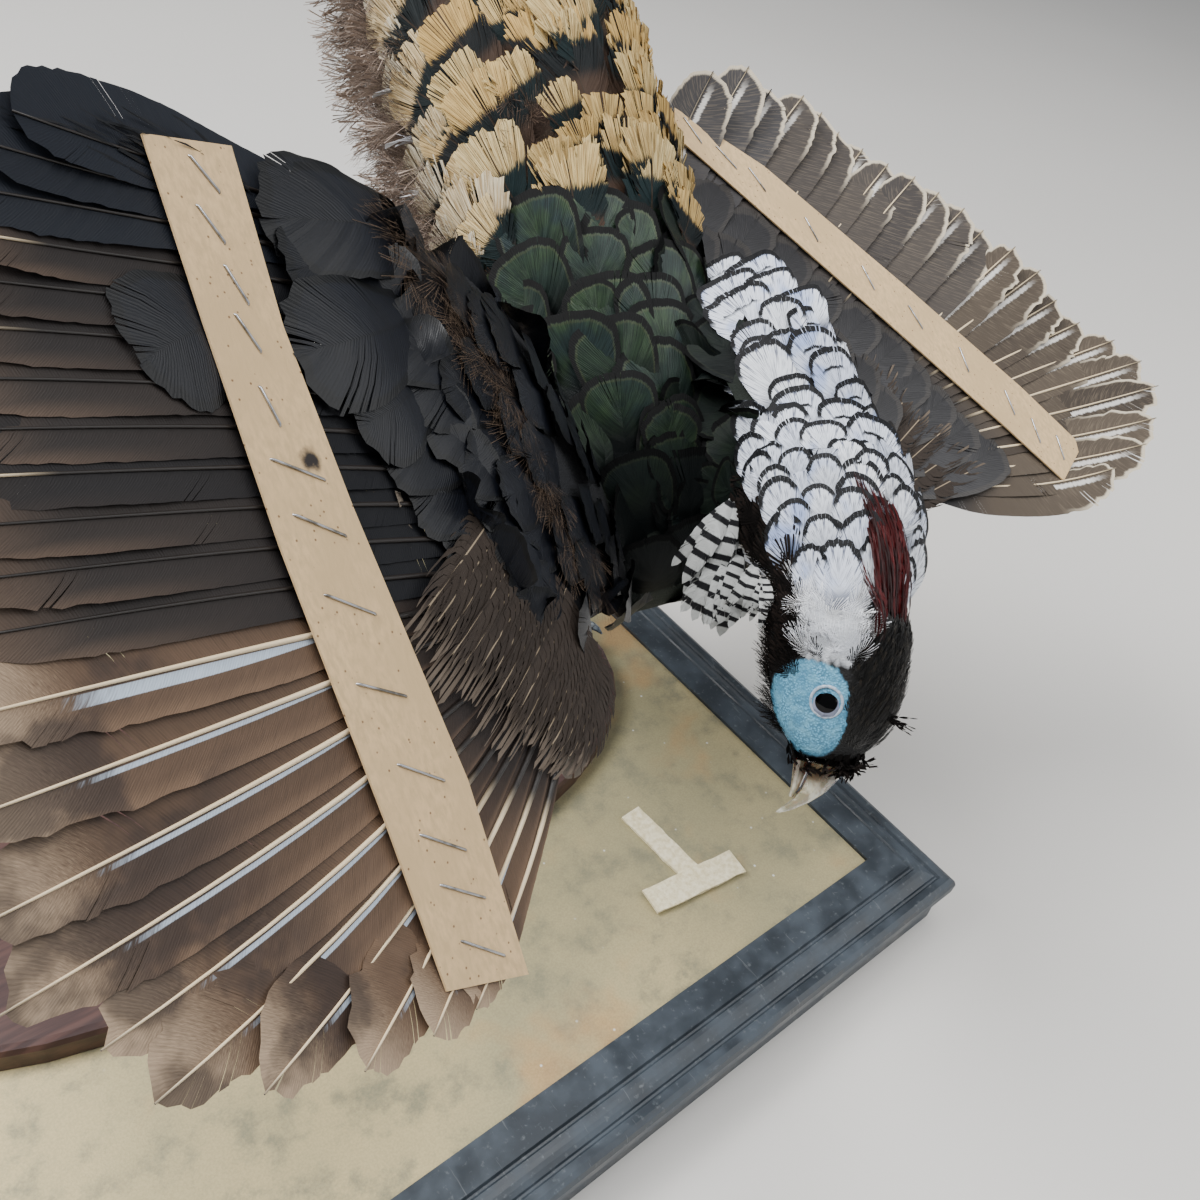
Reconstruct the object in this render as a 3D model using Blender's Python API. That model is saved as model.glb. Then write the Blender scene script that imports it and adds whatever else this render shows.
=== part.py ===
"""Lady Amherst's pheasant cock, mounted with spread wings on a moulded wooden base.

Metres, +Z up. The origin is the middle of the base's underside. The bird looks towards -Y and
down, its right wing is on the -X side, and its wings are clamped between strips of card.
"""

import math

import bmesh
import bpy
import numpy as np
from mathutils import Vector

GAP = 0.0003

# Base: a gold-papered panel in a moulded frame, and a low rounded plank on it.
PANEL_X, PANEL_Y = 0.410, 0.360
PANEL_TOP = 0.034
PANEL_THICK = 0.008
FRAME_WIDTH = 0.031
BOTTOM_THICK = 0.006
PLANK_X, PLANK_Y, PLANK_THICK = 0.356, 0.176, 0.012
PLANK_POWER = 2.5

# Trunk: the middle of the mantle, and the way from breast to tail.
MANTLE = Vector((0.1190, -0.0444, 0.2197))
REARWARD = Vector((0.1034, 0.7359, 0.6691)).normalized()
BIRD_RIGHT = Vector((-REARWARD.y, REARWARD.x, 0)).normalized()
DORSAL = REARWARD.cross(BIRD_RIGHT).normalized()
# (distance along the axis, half width, height above the axis, depth below it)
TRUNK_SECTIONS = (
    (-0.079, 0.013, 0.012, 0.014),
    (-0.073, 0.026, 0.024, 0.029),
    (-0.060, 0.037, 0.035, 0.044),
    (-0.040, 0.044, 0.042, 0.054),
    (-0.015, 0.047, 0.047, 0.060),
    (0.015, 0.047, 0.048, 0.062),
    (0.045, 0.046, 0.048, 0.060),
    (0.075, 0.0455, 0.047, 0.055),
)
RUMP_SECTIONS = (
    (0.075, 0.0455, 0.047, 0.055),
    (0.100, 0.045, 0.045, 0.050),
    (0.130, 0.045, 0.041, 0.044),
    (0.160, 0.043, 0.035, 0.037),
    (0.185, 0.038, 0.028, 0.028),
    (0.205, 0.031, 0.020, 0.018),
)

# Head: its middle lies between the eyes.
HEAD_FORWARD = Vector((-0.444, -0.486, -0.752)).normalized()
HEAD_RIGHT = Vector((-0.717, -0.310, 0.624)).normalized()
HEAD_UP = HEAD_RIGHT.cross(HEAD_FORWARD).normalized()
EYE_SURFACE = Vector((0.0759, -0.1924, 0.2250))
EYE_SPREAD = 0.0125
EYE_RADIUS = 0.0056
HEAD_MIDDLE = EYE_SURFACE - HEAD_RIGHT * (EYE_SPREAD + 0.0015)
# (distance along the head, half width, height above the eye line, depth below it)
HEAD_SECTIONS = (
    (-0.0260, 0.0175, 0.0195, 0.0215),
    (-0.0180, 0.0170, 0.0205, 0.0210),
    (-0.0090, 0.0160, 0.0208, 0.0200),
    (0.0000, 0.0142, 0.0200, 0.0185),
    (0.0075, 0.0118, 0.0178, 0.0158),
    (0.0135, 0.0088, 0.0138, 0.0112),
    (0.0178, 0.0062, 0.0088, 0.0076),
)
# (distance along the head, half width, top, underside) of the upper bill
UPPER_BILL = (
    (0.0181, 0.0054, 0.0072, -0.0022),
    (0.0220, 0.0050, 0.0062, -0.0026),
    (0.0262, 0.0040, 0.0034, -0.0036),
    (0.0300, 0.0027, -0.0008, -0.0056),
    (0.0330, 0.0013, -0.0052, -0.0084),
    (0.0345, 0.0004, -0.0084, -0.0098),
)
LOWER_BILL = (
    (0.0181, 0.0050, -0.0025, -0.0070),
    (0.0220, 0.0044, -0.0029, -0.0068),
    (0.0260, 0.0032, -0.0039, -0.0066),
    (0.0292, 0.0016, -0.0054, -0.0068),
)

# Neck: middles of its sections from inside the shoulders to the back of the head.
NECK_PATH = (
    (0.1270, -0.0620, 0.2060),
    (0.1422, -0.1095, 0.2240),
    (0.1245, -0.1425, 0.2383),
    tuple(HEAD_MIDDLE - HEAD_FORWARD * 0.0230),
)
NECK_WIDTHS = (0.030, 0.0295, 0.0275, 0.0178)
NECK_HEIGHTS = (0.036, 0.032, 0.029, 0.0205)
CAPE_PATH = (
    (0.1315, -0.1360, 0.2500),
    (0.1355, -0.1130, 0.2595),
    (0.1430, -0.0830, 0.2660),
    (0.1470, -0.0535, 0.2720),
)
CAPE_WIDTHS = (0.019, 0.0245, 0.0225, 0.016)
CAPE_HALF_THICK = (0.008, 0.009, 0.008, 0.003)
CREST_RISE = 0.0038
CREST_TURNS = (2.4, 2.4, 2.3, 2.0, 1.5)
CREST_HALF_WIDTHS = (0.0045, 0.0075, 0.0080, 0.0070, 0.0030)
CREST_HALF_THICK = (0.0018, 0.0030, 0.0032, 0.0030, 0.0012)

# Wings: wrist, rearward axis along the clamp, outward axis, both in the plane of the feathers.
WING_PLANES = {
    "R": ((0.0318, -0.1380, 0.2345), (0.0250, 0.7401, 0.6721), (-0.9284, -0.2321, 0.2901)),
    "L": ((0.1723, -0.1153, 0.2174), (-0.5149, 0.7506, 0.4142), (0.8530, 0.4005, 0.3346)),
}
WING_FLAT_FROM, WING_FLAT_TO = 0.035, 0.085
WING_ARCH, WING_DROOP = 3.2, 1.2
VANE_HALF_THICK = 0.0013
ARM_EDGE = 0.036
# Feather groups: each has root, bend and tip lines, as (rearward, outward) in millimetres.
FEATHERS = {
    "R": {
        "primaries": (
            10,
            ((-20, 18.5), (-8, 25), (14, 36.5)),
            ((-58, 52), (-34, 88), (24, 95)),
            (
                (-68, 82), (-67, 100), (-62, 120), (-53, 144), (-41, 160),
                (-25, 169), (-8, 172), (12, 169), (30, 163),
            ),
        ),
        "secondaries": (
            9,
            ((14.5, 36.5), (92, 36.5)),
            ((25, 95), (100, 90)),
            ((30.5, 163), (50, 159), (68, 155), (88, 149), (104, 139)),
        ),
        "tertials": (
            3,
            ((92.5, 36.5), (108, 40)),
            ((101, 85), (118, 66)),
            ((104.5, 139), (116, 130), (124, 116)),
        ),
    },
    "L": {
        "primaries": (
            10,
            ((-20, 16.5), (-8, 25), (14, 36.5)),
            ((-66, 40), (-46, 92), (-1, 95)),
            (
                (-97, 80), (-109, 104), (-114, 130), (-111, 156), (-94, 162),
                (-73, 160), (-53, 158), (-32, 155), (-12, 152),
            ),
        ),
        "secondaries": (
            9,
            ((14.5, 36.5), (92, 36.5)),
            ((2, 95), (97, 88)),
            ((-11.5, 152), (18, 149), (45, 146), (72, 143), (95, 135)),
        ),
        "tertials": (
            3,
            ((92.5, 36.5), (110, 42)),
            ((98, 86), (120, 62)),
            ((95.5, 135), (114, 122), (129, 101)),
        ),
    },
}
# Clamp strips: inner and outer edges as (rearward, outward) in millimetres, cut off aslant below.
STRIPS = {
    "R": (
        ((121, 70), (81, 73.5), (40, 72), (-24, 67), (-69, 69.5)),
        ((121, 92), (82, 93.5), (36, 94.5), (-24, 93), (-60, 93)),
    ),
    "L": (
        ((121, 77), (84, 76), (14, 74), (-50, 72), (-84, 70)),
        ((127, 88), (87, 95.5), (14, 96), (-50, 95), (-86, 92)),
    ),
}
STRIP_HALF_GAP, STRIP_THICK = 0.0019, 0.0006

# Tail: vaulted central pair, graduated side feathers and long upper coverts.
TAIL_ROOT = MANTLE + REARWARD * 0.195
TAIL_PITCH_START, TAIL_PITCH_END = 42.0, 20.0
CENTRE_LENGTH, CENTRE_HALF_WIDTH = 0.820, 0.027
SIDE_LENGTHS = (0.600, 0.430, 0.290)
COVERT_LENGTH = 0.230

# Legs.
HIP_ALONG, HIP_OUT = 0.045, 0.024
FEET = {"R": (0.106, 0.014), "L": (0.158, 0.020)}
TARSUS_LENGTH, TARSUS_RADIUS = 0.078, 0.0038
TOES = ((0.0, 0.050, 0.0040), (34.0, 0.038, 0.0036), (-34.0, 0.040, 0.0036), (178.0, 0.018, 0.0030))

RING_STEPS = 20
COLOURS = {
    "lacquer": ((0.035, 0.040, 0.045), 0.45, 0.0),
    "gold": ((0.55, 0.44, 0.24), 0.5, 0.3),
    "board": ((0.32, 0.22, 0.13), 0.7, 0.0),
    "plank": ((0.06, 0.02, 0.018), 0.4, 0.0),
    "mantle": ((0.03, 0.08, 0.06), 0.5, 0.0),
    "rump": ((0.65, 0.50, 0.25), 0.7, 0.0),
    "white": ((0.80, 0.82, 0.86), 0.6, 0.0),
    "black": ((0.01, 0.012, 0.012), 0.5, 0.0),
    "maroon": ((0.22, 0.02, 0.015), 0.4, 0.0),
    "horn": ((0.55, 0.45, 0.33), 0.3, 0.0),
    "eye": ((0.02, 0.02, 0.02), 0.05, 0.0),
    "wing": ((0.05, 0.05, 0.06), 0.6, 0.0),
    "flight": ((0.14, 0.10, 0.07), 0.6, 0.0),
    "card": ((0.55, 0.40, 0.24), 0.8, 0.0),
    "leg": ((0.20, 0.24, 0.28), 0.5, 0.0),
    "thigh": ((0.50, 0.45, 0.42), 0.8, 0.0),
    "tail": ((0.60, 0.60, 0.60), 0.6, 0.0),
    "red": ((0.60, 0.10, 0.03), 0.6, 0.0),
}


def cleared_collections():
    for item in list(bpy.data.objects):
        bpy.data.objects.remove(item)
    made = []
    for name in ("pheasant", "cutters"):
        collection = bpy.data.collections.new(name)
        bpy.context.scene.collection.children.link(collection)
        made.append(collection)
    return made


PARTS, CUTTERS = cleared_collections()


def material(name):
    found = bpy.data.materials.get(name)
    if found:
        return found
    colour, roughness, metallic = COLOURS[name]
    made = bpy.data.materials.new(name)
    made.use_nodes = True
    shader = made.node_tree.nodes["Principled BSDF"]
    shader.inputs["Base Color"].default_value = (*colour, 1)
    shader.inputs["Roughness"].default_value = roughness
    shader.inputs["Metallic"].default_value = metallic
    return made


def finished(name, mesh, colour, cutter=False):
    """Takes a bmesh, turns its faces out and adds it as an object."""
    bmesh.ops.recalc_face_normals(mesh, faces=mesh.faces)
    if mesh.calc_volume(signed=True) < 0:
        bmesh.ops.reverse_faces(mesh, faces=mesh.faces)
    data = bpy.data.meshes.new(name)
    mesh.to_mesh(data)
    mesh.free()
    made = bpy.data.objects.new(name, data)
    if cutter:
        made.hide_render = True
        made.display_type = "WIRE"
        CUTTERS.objects.link(made)
        return made
    data.materials.append(material(colour))
    data.shade_smooth()
    data.set_sharp_from_angle(angle=math.radians(40))
    PARTS.objects.link(made)
    return made


def loft(name, rings, colour, cutter=False):
    """A closed skin over rings of equal point counts, with flat caps."""
    mesh = bmesh.new()
    rows = [[mesh.verts.new(p) for p in ring] for ring in rings]
    for low, high in zip(rows, rows[1:]):
        for i in range(len(low)):
            j = (i + 1) % len(low)
            mesh.faces.new((low[i], low[j], high[j]))
            mesh.faces.new((low[i], high[j], high[i]))
    mesh.faces.new(rows[0])
    mesh.faces.new(rows[-1])
    return finished(name, mesh, colour, cutter)


def cut(piece, *cutters):
    for cutter in cutters:
        step = piece.modifiers.new("cut", "BOOLEAN")
        step.operation = "DIFFERENCE"
        step.object = cutter


def oval(middle, side, up, half_width, above, below, steps=RING_STEPS, power=2.0):
    """A ring round middle that may rise and fall by different amounts."""
    ring = []
    for i in range(steps):
        angle = 2 * math.pi * i / steps
        c, s = math.cos(angle), math.sin(angle)
        x = half_width * math.copysign(abs(c) ** (2 / power), c)
        y = (above if s > 0 else below) * math.copysign(abs(s) ** (2 / power), s)
        ring.append(Vector(middle) + side * x + up * y)
    return ring


def smooth_path(points, count):
    """A curve through the points (Catmull-Rom), sampled evenly in its parameter."""
    p = np.array([tuple(x) for x in points], float)
    p = np.vstack([2 * p[0] - p[1], p, 2 * p[-1] - p[-2]])
    spans = len(p) - 3
    found = []
    for k in range(count):
        at = min(k / (count - 1) * spans, spans - 1e-9)
        i = int(at)
        t = at - i
        a, b, c, d = p[i : i + 4]
        found.append(
            0.5 * (2 * b + (c - a) * t + (2 * a - 5 * b + 4 * c - d) * t**2 + (3 * b - a - 3 * c + d) * t**3)
        )
    return found


def spread(values, count):
    return np.interp(np.linspace(0, 1, count), np.linspace(0, 1, len(values)), values)


# ---------------------------------------------------------------- base
def make_base():
    """Moulded frame, swept round the panel with mitred corners, the panel, its bottom and the plank."""
    profile = [(0.0, 0.0355), (0.0135, 0.0358)]
    profile += [(0.0142, 0.0342), (0.0150, 0.0340)]
    profile += [(0.0158 + 0.0070 * k / 4, 0.0348 - 0.0022 * (k / 4) ** 2) for k in range(5)]
    profile += [(0.0234, 0.0316), (0.0242, 0.0314)]
    profile += [(0.0250, 0.0324), (0.0280, 0.0327), (0.0300, 0.0316), (FRAME_WIDTH, 0.0290)]
    profile += [(FRAME_WIDTH, 0.0235), (0.0285, 0.0215), (0.0278, 0.0190), (0.0285, 0.0020), (0.0270, 0.0)]
    profile += [(0.0, 0.0)]
    inner_x, inner_y = PANEL_X / 2 + GAP, PANEL_Y / 2 + GAP
    mesh = bmesh.new()
    corners = ((1, 1), (-1, 1), (-1, -1), (1, -1))
    rows = []
    for sx, sy in corners:
        rows.append([mesh.verts.new((sx * (inner_x + w), sy * (inner_y + w), z)) for w, z in profile])
    for k in range(4):
        one, two = rows[k], rows[(k + 1) % 4]
        for i in range(len(profile)):
            j = (i + 1) % len(profile)
            mesh.faces.new((one[i], two[i], two[j], one[j]))
    finished("base_frame", mesh, "lacquer")
    for name, top, thick, colour in (
        ("base_panel", PANEL_TOP, PANEL_THICK, "gold"),
        ("base_bottom", BOTTOM_THICK, BOTTOM_THICK, "board"),
    ):
        mesh = bmesh.new()
        bmesh.ops.create_cube(mesh, size=1)
        bmesh.ops.scale(mesh, verts=mesh.verts, vec=(PANEL_X, PANEL_Y, thick))
        bmesh.ops.translate(mesh, verts=mesh.verts, vec=(0, 0, top - thick / 2))
        finished(name, mesh, colour)
    low = PANEL_TOP + GAP
    rings = []
    high = low + PLANK_THICK
    for inset, z in ((0, low), (0, high - 0.003), (0.001, high - 0.001), (0.003, high)):
        half_x, half_y = PLANK_X / 2 - inset, PLANK_Y / 2 - inset
        ring = oval((0, 0, z), Vector((1, 0, 0)), Vector((0, 1, 0)), half_x, half_y, half_y, 40, PLANK_POWER)
        rings.append(ring)
    loft("base_plank", rings, "plank")
    return low + PLANK_THICK


# ---------------------------------------------------------------- trunk, neck and head
def body_rings(sections, grow=0.0, start=0.0, end=0.0):
    """Rings across the trunk's axis; start and end shift the first and last along it."""
    rings = []
    for k, (along, half_width, above, below) in enumerate(sections):
        shift = start * (k == 0) + end * (k == len(sections) - 1)
        middle = MANTLE + REARWARD * (along + shift)
        rings.append(
            oval(middle, BIRD_RIGHT, DORSAL, half_width + grow, above + grow, below + grow, RING_STEPS, 2.2)
        )
    return rings


def neck_rings(grow=0.0):
    count = 8
    path = smooth_path(NECK_PATH, count)
    widths, heights = spread(NECK_WIDTHS, count), spread(NECK_HEIGHTS, count)
    rings = []
    for k, middle in enumerate(path):
        ahead = Vector(path[min(k + 1, count - 1)]) - Vector(path[max(k - 1, 0)])
        if k == count - 1:
            ahead = HEAD_FORWARD.copy()
        share = min(1.0, k / (count - 2))
        up = DORSAL.lerp(HEAD_UP, share)
        side = ahead.cross(up).normalized()
        up = side.cross(ahead).normalized()
        rings.append(oval(middle, side, up, widths[k] + grow, heights[k] + grow, heights[k] + grow))
    return rings


def head_point(along, right=0.0, up=0.0):
    return HEAD_MIDDLE + HEAD_FORWARD * along + HEAD_RIGHT * right + HEAD_UP * up


def head_rings(sections, grow=0.0):
    return [
        oval(head_point(along), HEAD_RIGHT, HEAD_UP, w + grow, top + grow, below + grow)
        for along, w, top, below in sections
    ]


def bill_rings(sections):
    rings = []
    for along, w, top, low in sections:
        middle, half = (top + low) / 2, (top - low) / 2
        rings.append(oval(head_point(along, 0, middle), HEAD_RIGHT, HEAD_UP, w, half, half, 12))
    return rings


def crest_rings(grow=0.0):
    """A flat tuft that lies along the hind crown and the right of the nape, just clear of them."""
    below = head_rings(HEAD_SECTIONS)[1::-1] + neck_rings()[-2:-5:-1]
    tops, ups = [], []
    for ring, turn in zip(below, CREST_TURNS):
        first = int(turn)
        top = ring[first].lerp(ring[first + 1], turn - first)
        middle = sum(ring, Vector()) / len(ring)
        tops.append(top)
        ups.append((top - middle).normalized())
    rings = []
    for k, top in enumerate(tops):
        ahead = (tops[min(k + 1, len(tops) - 1)] - tops[max(k - 1, 0)]).normalized()
        side = ahead.cross(ups[k]).normalized()
        up = side.cross(ahead).normalized()
        thick = CREST_HALF_THICK[k] + grow
        rings.append(oval(top + up * CREST_RISE, side, up, CREST_HALF_WIDTHS[k] + grow, thick, thick, 12))
    return rings


def ball(name, middle, radius, colour, cutter=False, rows=(12, 8)):
    mesh = bmesh.new()
    bmesh.ops.create_uvsphere(mesh, u_segments=rows[0], v_segments=rows[1], radius=radius)
    bmesh.ops.translate(mesh, verts=mesh.verts, vec=middle)
    return finished(name, mesh, colour, cutter)


def ribbon_rings(path, widths, half_thick, facing, count, steps=12):
    """Flat ovals along a path, their thin way along facing."""
    points = smooth_path(path, count)
    wide, thin = spread(widths, count), spread(half_thick, count)
    rings = []
    for k, middle in enumerate(points):
        ahead = Vector(points[min(k + 1, count - 1)]) - Vector(points[max(k - 1, 0)])
        side = ahead.cross(facing).normalized()
        up = side.cross(ahead).normalized()
        rings.append(oval(middle, side, up, wide[k], thin[k], thin[k], steps))
    return rings


def make_body():
    """Trunk and rump, neck, cape, crest, head, bill and eyes. Returns the cutters that other pieces need."""
    loft("trunk", body_rings(TRUNK_SECTIONS, end=-GAP / 2), "mantle")
    loft("rump", body_rings(RUMP_SECTIONS, start=GAP / 2), "rump")
    whole = TRUNK_SECTIONS + RUMP_SECTIONS[1:]
    body = loft("body_cutter", body_rings(whole, GAP, -GAP, GAP), None, True)
    behind = [(HEAD_SECTIONS[0][0] - GAP, *HEAD_SECTIONS[0][1:]), *HEAD_SECTIONS[1:]]
    head_cutter = loft("head_cutter", head_rings(behind, 3 * GAP), None, True)
    neck = loft("neck", neck_rings(), "white")
    cut(neck, body, head_cutter)
    neck_cutter = loft("neck_cutter", neck_rings(GAP), None, True)
    head = loft("head", head_rings(HEAD_SECTIONS), "black")
    for name, sign in (("eye_R", 1), ("eye_L", -1)):
        middle = head_point(0, sign * (EYE_SPREAD - EYE_RADIUS + 0.0016), 0)
        ball(name, middle, EYE_RADIUS, "eye")
        cut(head, ball(name + "_cutter", middle, EYE_RADIUS + GAP, None, True))
    loft("bill_upper", bill_rings(UPPER_BILL), "horn")
    loft("bill_lower", bill_rings(LOWER_BILL), "horn")
    facing = (HEAD_RIGHT + DORSAL).normalized()
    cape = loft("cape", ribbon_rings(CAPE_PATH, CAPE_WIDTHS, CAPE_HALF_THICK, facing, 7, 16), "white")
    cut(cape, body, neck_cutter, head_cutter)
    cape_cutter = loft(
        "cape_cutter",
        ribbon_rings(
            CAPE_PATH, [w + GAP for w in CAPE_WIDTHS], [t + GAP for t in CAPE_HALF_THICK], facing, 7, 16
        ),
        None,
        True,
    )
    loft("crest", crest_rings(), "maroon")
    cut(cape, loft("crest_cutter", crest_rings(2 * GAP), None, True))
    return body, neck_cutter, cape_cutter


# ---------------------------------------------------------------- wings
def arch(outward):
    """Height of the wing's surface over its flat middle, where the clamp holds it."""
    if outward < WING_FLAT_FROM:
        return -WING_ARCH * (WING_FLAT_FROM - outward) ** 2
    if outward > WING_FLAT_TO:
        return -WING_DROOP * (outward - WING_FLAT_TO) ** 2
    return 0.0


def wing_point(hand, rearward, outward, height=0.0):
    """A place on a wing, in metres from its wrist, and its height over the wing's surface."""
    wrist, rear, out = (Vector(x) for x in WING_PLANES[hand])
    rear.normalize()
    out = (out - rear * out.dot(rear)).normalized()
    up = rear.cross(out) if hand == "R" else out.cross(rear)
    return wrist + rear * rearward + out * outward + up * (height + arch(outward))


def line_at(points, share):
    """A place along a line of (rearward, outward) points, in metres."""
    p = np.array(points, float) / 1000
    at = np.linspace(0, 1, len(p))
    return np.array([np.interp(share, at, p[:, 0]), np.interp(share, at, p[:, 1])])


def feather_line(group, share, along):
    """A place on a group's fan: share across it, along from root to tip."""
    _, roots, bends, tips = group
    root, bend, tip = (line_at(line, share) for line in (roots, bends, tips))
    return root * (1 - along) ** 2 + 2 * bend * along * (1 - along) + tip * along**2


def sheet(name, hand, grid, half_thick, colour):
    """A closed sheet over a grid of (rearward, outward) places, half_thick to each side of the wing."""
    mesh = bmesh.new()
    tops = [[mesh.verts.new(wing_point(hand, u, v, half_thick)) for u, v in row] for row in grid]
    lows = [[mesh.verts.new(wing_point(hand, u, v, -half_thick)) for u, v in row] for row in grid]
    rows, columns = len(grid), len(grid[0])
    for layer in (tops, lows):
        for i in range(rows - 1):
            for j in range(columns - 1):
                mesh.faces.new((layer[i][j], layer[i + 1][j], layer[i + 1][j + 1], layer[i][j + 1]))
    rim = [(i, 0) for i in range(rows)] + [(rows - 1, j) for j in range(1, columns)]
    rim += [(i, columns - 1) for i in range(rows - 2, -1, -1)] + [(0, j) for j in range(columns - 2, 0, -1)]
    for (i, j), (k, m) in zip(rim, rim[1:] + rim[:1]):
        mesh.faces.new((tops[i][j], tops[k][m], lows[k][m], lows[i][j]))
    return finished(name, mesh, colour)


def make_fan(hand, name, group):
    """One group of flight feathers as a sheet whose free edge runs round every feather's tip."""
    feathers = group[0]
    per_feather, rows, notch = 4, 5, 0.055
    grid = []
    for i in range(feathers * per_feather + 1):
        share = i / (feathers * per_feather)
        round_tip = abs(math.sin(math.pi * share * feathers)) ** 0.5
        reach = 1 - notch * (1 - round_tip)
        grid.append([feather_line(group, share, reach * j / rows) for j in range(rows + 1)])
    return sheet(f"wing_{hand}_{name}", hand, grid, VANE_HALF_THICK, "flight")


def make_arm(hand, cutters):
    """The feathered arm, from the shoulder out to the roots of the flight feathers."""
    steps = 9
    lead = ((-14, -80), (-2, -50), (2, -22), (-5, -2), (-19, 17))
    rear = ((58, -80), (66, -58), (84, -30), (98, -4), (107, 35.5))
    if hand == "L":
        lead = ((20, -20), (13, -10), (4, 0), (-6, 8), (-19, 15))
        rear = ((80, -20), (88, -10), (96, 3), (104, 17), (109, 35.5))
    grid = []
    for i in range(steps):
        share = i / (steps - 1)
        low, high = line_at(lead, share), line_at(rear, share)
        grid.append([(low[0] + (high[0] - low[0]) * k / 8, 0) for k in range(9)])
        front, back = low[1], high[1]
        grid[-1] = [(u, front + (back - front) * min(1, k / 3)) for k, (u, _) in enumerate(grid[-1])]
    rings = []
    for i, row in enumerate(grid):
        share = i / (steps - 1)
        thick = np.interp(share, (0, 0.5, 1), (0.011, 0.0085, 0.0022))
        heights = [thick * math.sin(math.pi * (0.06 + 0.88 * k / 8)) ** 0.5 for k in range(9)]
        heights = [min(h, 0.0035 + thick * 0.9) for h in heights]
        top = [wing_point(hand, u, v, h) for (u, v), h in zip(row, heights)]
        low = [wing_point(hand, u, v, -h) for (u, v), h in zip(row, heights)]
        rings.append(top + low[::-1])
    arm = loft(f"wing_{hand}_arm", rings, "wing")
    cut(arm, *cutters)


def make_strips(hand):
    """The two strips of card that hold the feathers flat between them."""
    inner, outer = STRIPS[hand]
    for name, sign, shift in (("top", 1, 0.0), ("under", -1, 0.002)):
        mesh = bmesh.new()
        rows = []
        for k in range(9):
            share = k / 8
            (u1, v1), (u2, v2) = line_at(inner, share), line_at(outer, share)
            near, far = sign * STRIP_HALF_GAP, sign * (STRIP_HALF_GAP + STRIP_THICK)
            places = (
                (u1 + shift, v1 - shift, near),
                (u2 + shift, v2 - shift, near),
                (u2 + shift, v2 - shift, far),
                (u1 + shift, v1 - shift, far),
            )
            rows.append([mesh.verts.new(wing_point(hand, *place)) for place in places])
        for one, two in zip(rows, rows[1:]):
            for i in range(4):
                mesh.faces.new((one[i], one[(i + 1) % 4], two[(i + 1) % 4], two[i]))
        mesh.faces.new(rows[0])
        mesh.faces.new(rows[-1])
        finished(f"card_{hand}_{name}", mesh, "card")


def make_wings(body, neck, cape):
    for hand in "RL":
        make_arm(hand, (body, neck) if hand == "R" else (body, neck, cape))
        for name, group in FEATHERS[hand].items():
            fan = make_fan(hand, name, group)
            if hand == "L":
                cut(fan, body)
        make_strips(hand)


# ---------------------------------------------------------------- tail
def tail_path(length, count, drop=0.0, out=0.0):
    """Middles down a tail feather that arches over under its own weight; out leans it sideways."""
    points, place = [], TAIL_ROOT - DORSAL * drop
    step = length / (count - 1)
    heading = Vector((REARWARD.x, REARWARD.y, 0)).normalized()
    for k in range(count):
        points.append(place.copy())
        share = k * step / CENTRE_LENGTH
        pitch = math.radians(TAIL_PITCH_START + (TAIL_PITCH_END - TAIL_PITCH_START) * share)
        way = heading * math.cos(pitch) + Vector((0, 0, math.sin(pitch))) + BIRD_RIGHT * out
        place = place + way * step
    return points


def blade(name, path, half_widths, vault, half_thick, colour, lean=0.0):
    """A long feather, roofed along its shaft, thin at its rims."""
    count = len(path)
    rings = []
    for k, middle in enumerate(path):
        ahead = (path[min(k + 1, count - 1)] - path[max(k - 1, 0)]).normalized()
        side = ahead.cross(Vector((0, 0, 1))).normalized()
        up = side.cross(ahead).normalized()
        side = (side + up * lean).normalized()
        w = half_widths[k]
        rise = vault * w
        tops = [(-w, 0), (-w * 0.5, rise * 0.65), (0, rise), (w * 0.5, rise * 0.65), (w, 0)]
        ring = [middle + side * x + up * (y + half_thick) for x, y in tops]
        ring += [middle + side * x + up * (y - half_thick) for x, y in tops[::-1]]
        rings.append(ring)
    return loft(name, rings, colour)


def taper(count, half_width, root_share=0.7, tip_from=0.55):
    """Half widths from root to a narrow rounded tip."""
    found = []
    for k in range(count):
        s = k / (count - 1)
        root = root_share + (1 - root_share) * min(1, s / 0.15)
        tip = 1 if s < tip_from else 1 - 0.93 * ((s - tip_from) / (1 - tip_from)) ** 2.2
        found.append(half_width * root * tip)
    return found


def make_tail(body):
    """Central pair, three steps of side feathers a side, and the upper and under coverts."""
    widths = taper(19, CENTRE_HALF_WIDTH)
    centre = blade("tail_centre", tail_path(CENTRE_LENGTH, 19), widths, 0.42, 0.0011, "tail")
    cut(centre, body)
    for step, length in enumerate(SIDE_LENGTHS, 1):
        for hand, sign in (("R", 1), ("L", -1)):
            path = tail_path(length, 11, 0.0015 + 0.0045 * step, sign * (0.010 + 0.030 * step))
            shift = BIRD_RIGHT * sign * 0.022
            path = [p + shift for p in path]
            widths = taper(11, 0.0165, 0.8, 0.4)
            side = blade(f"tail_side_{hand}{step}", path, widths, 0.12, 0.0009, "tail", 0.0)
            cut(side, body)


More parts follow.
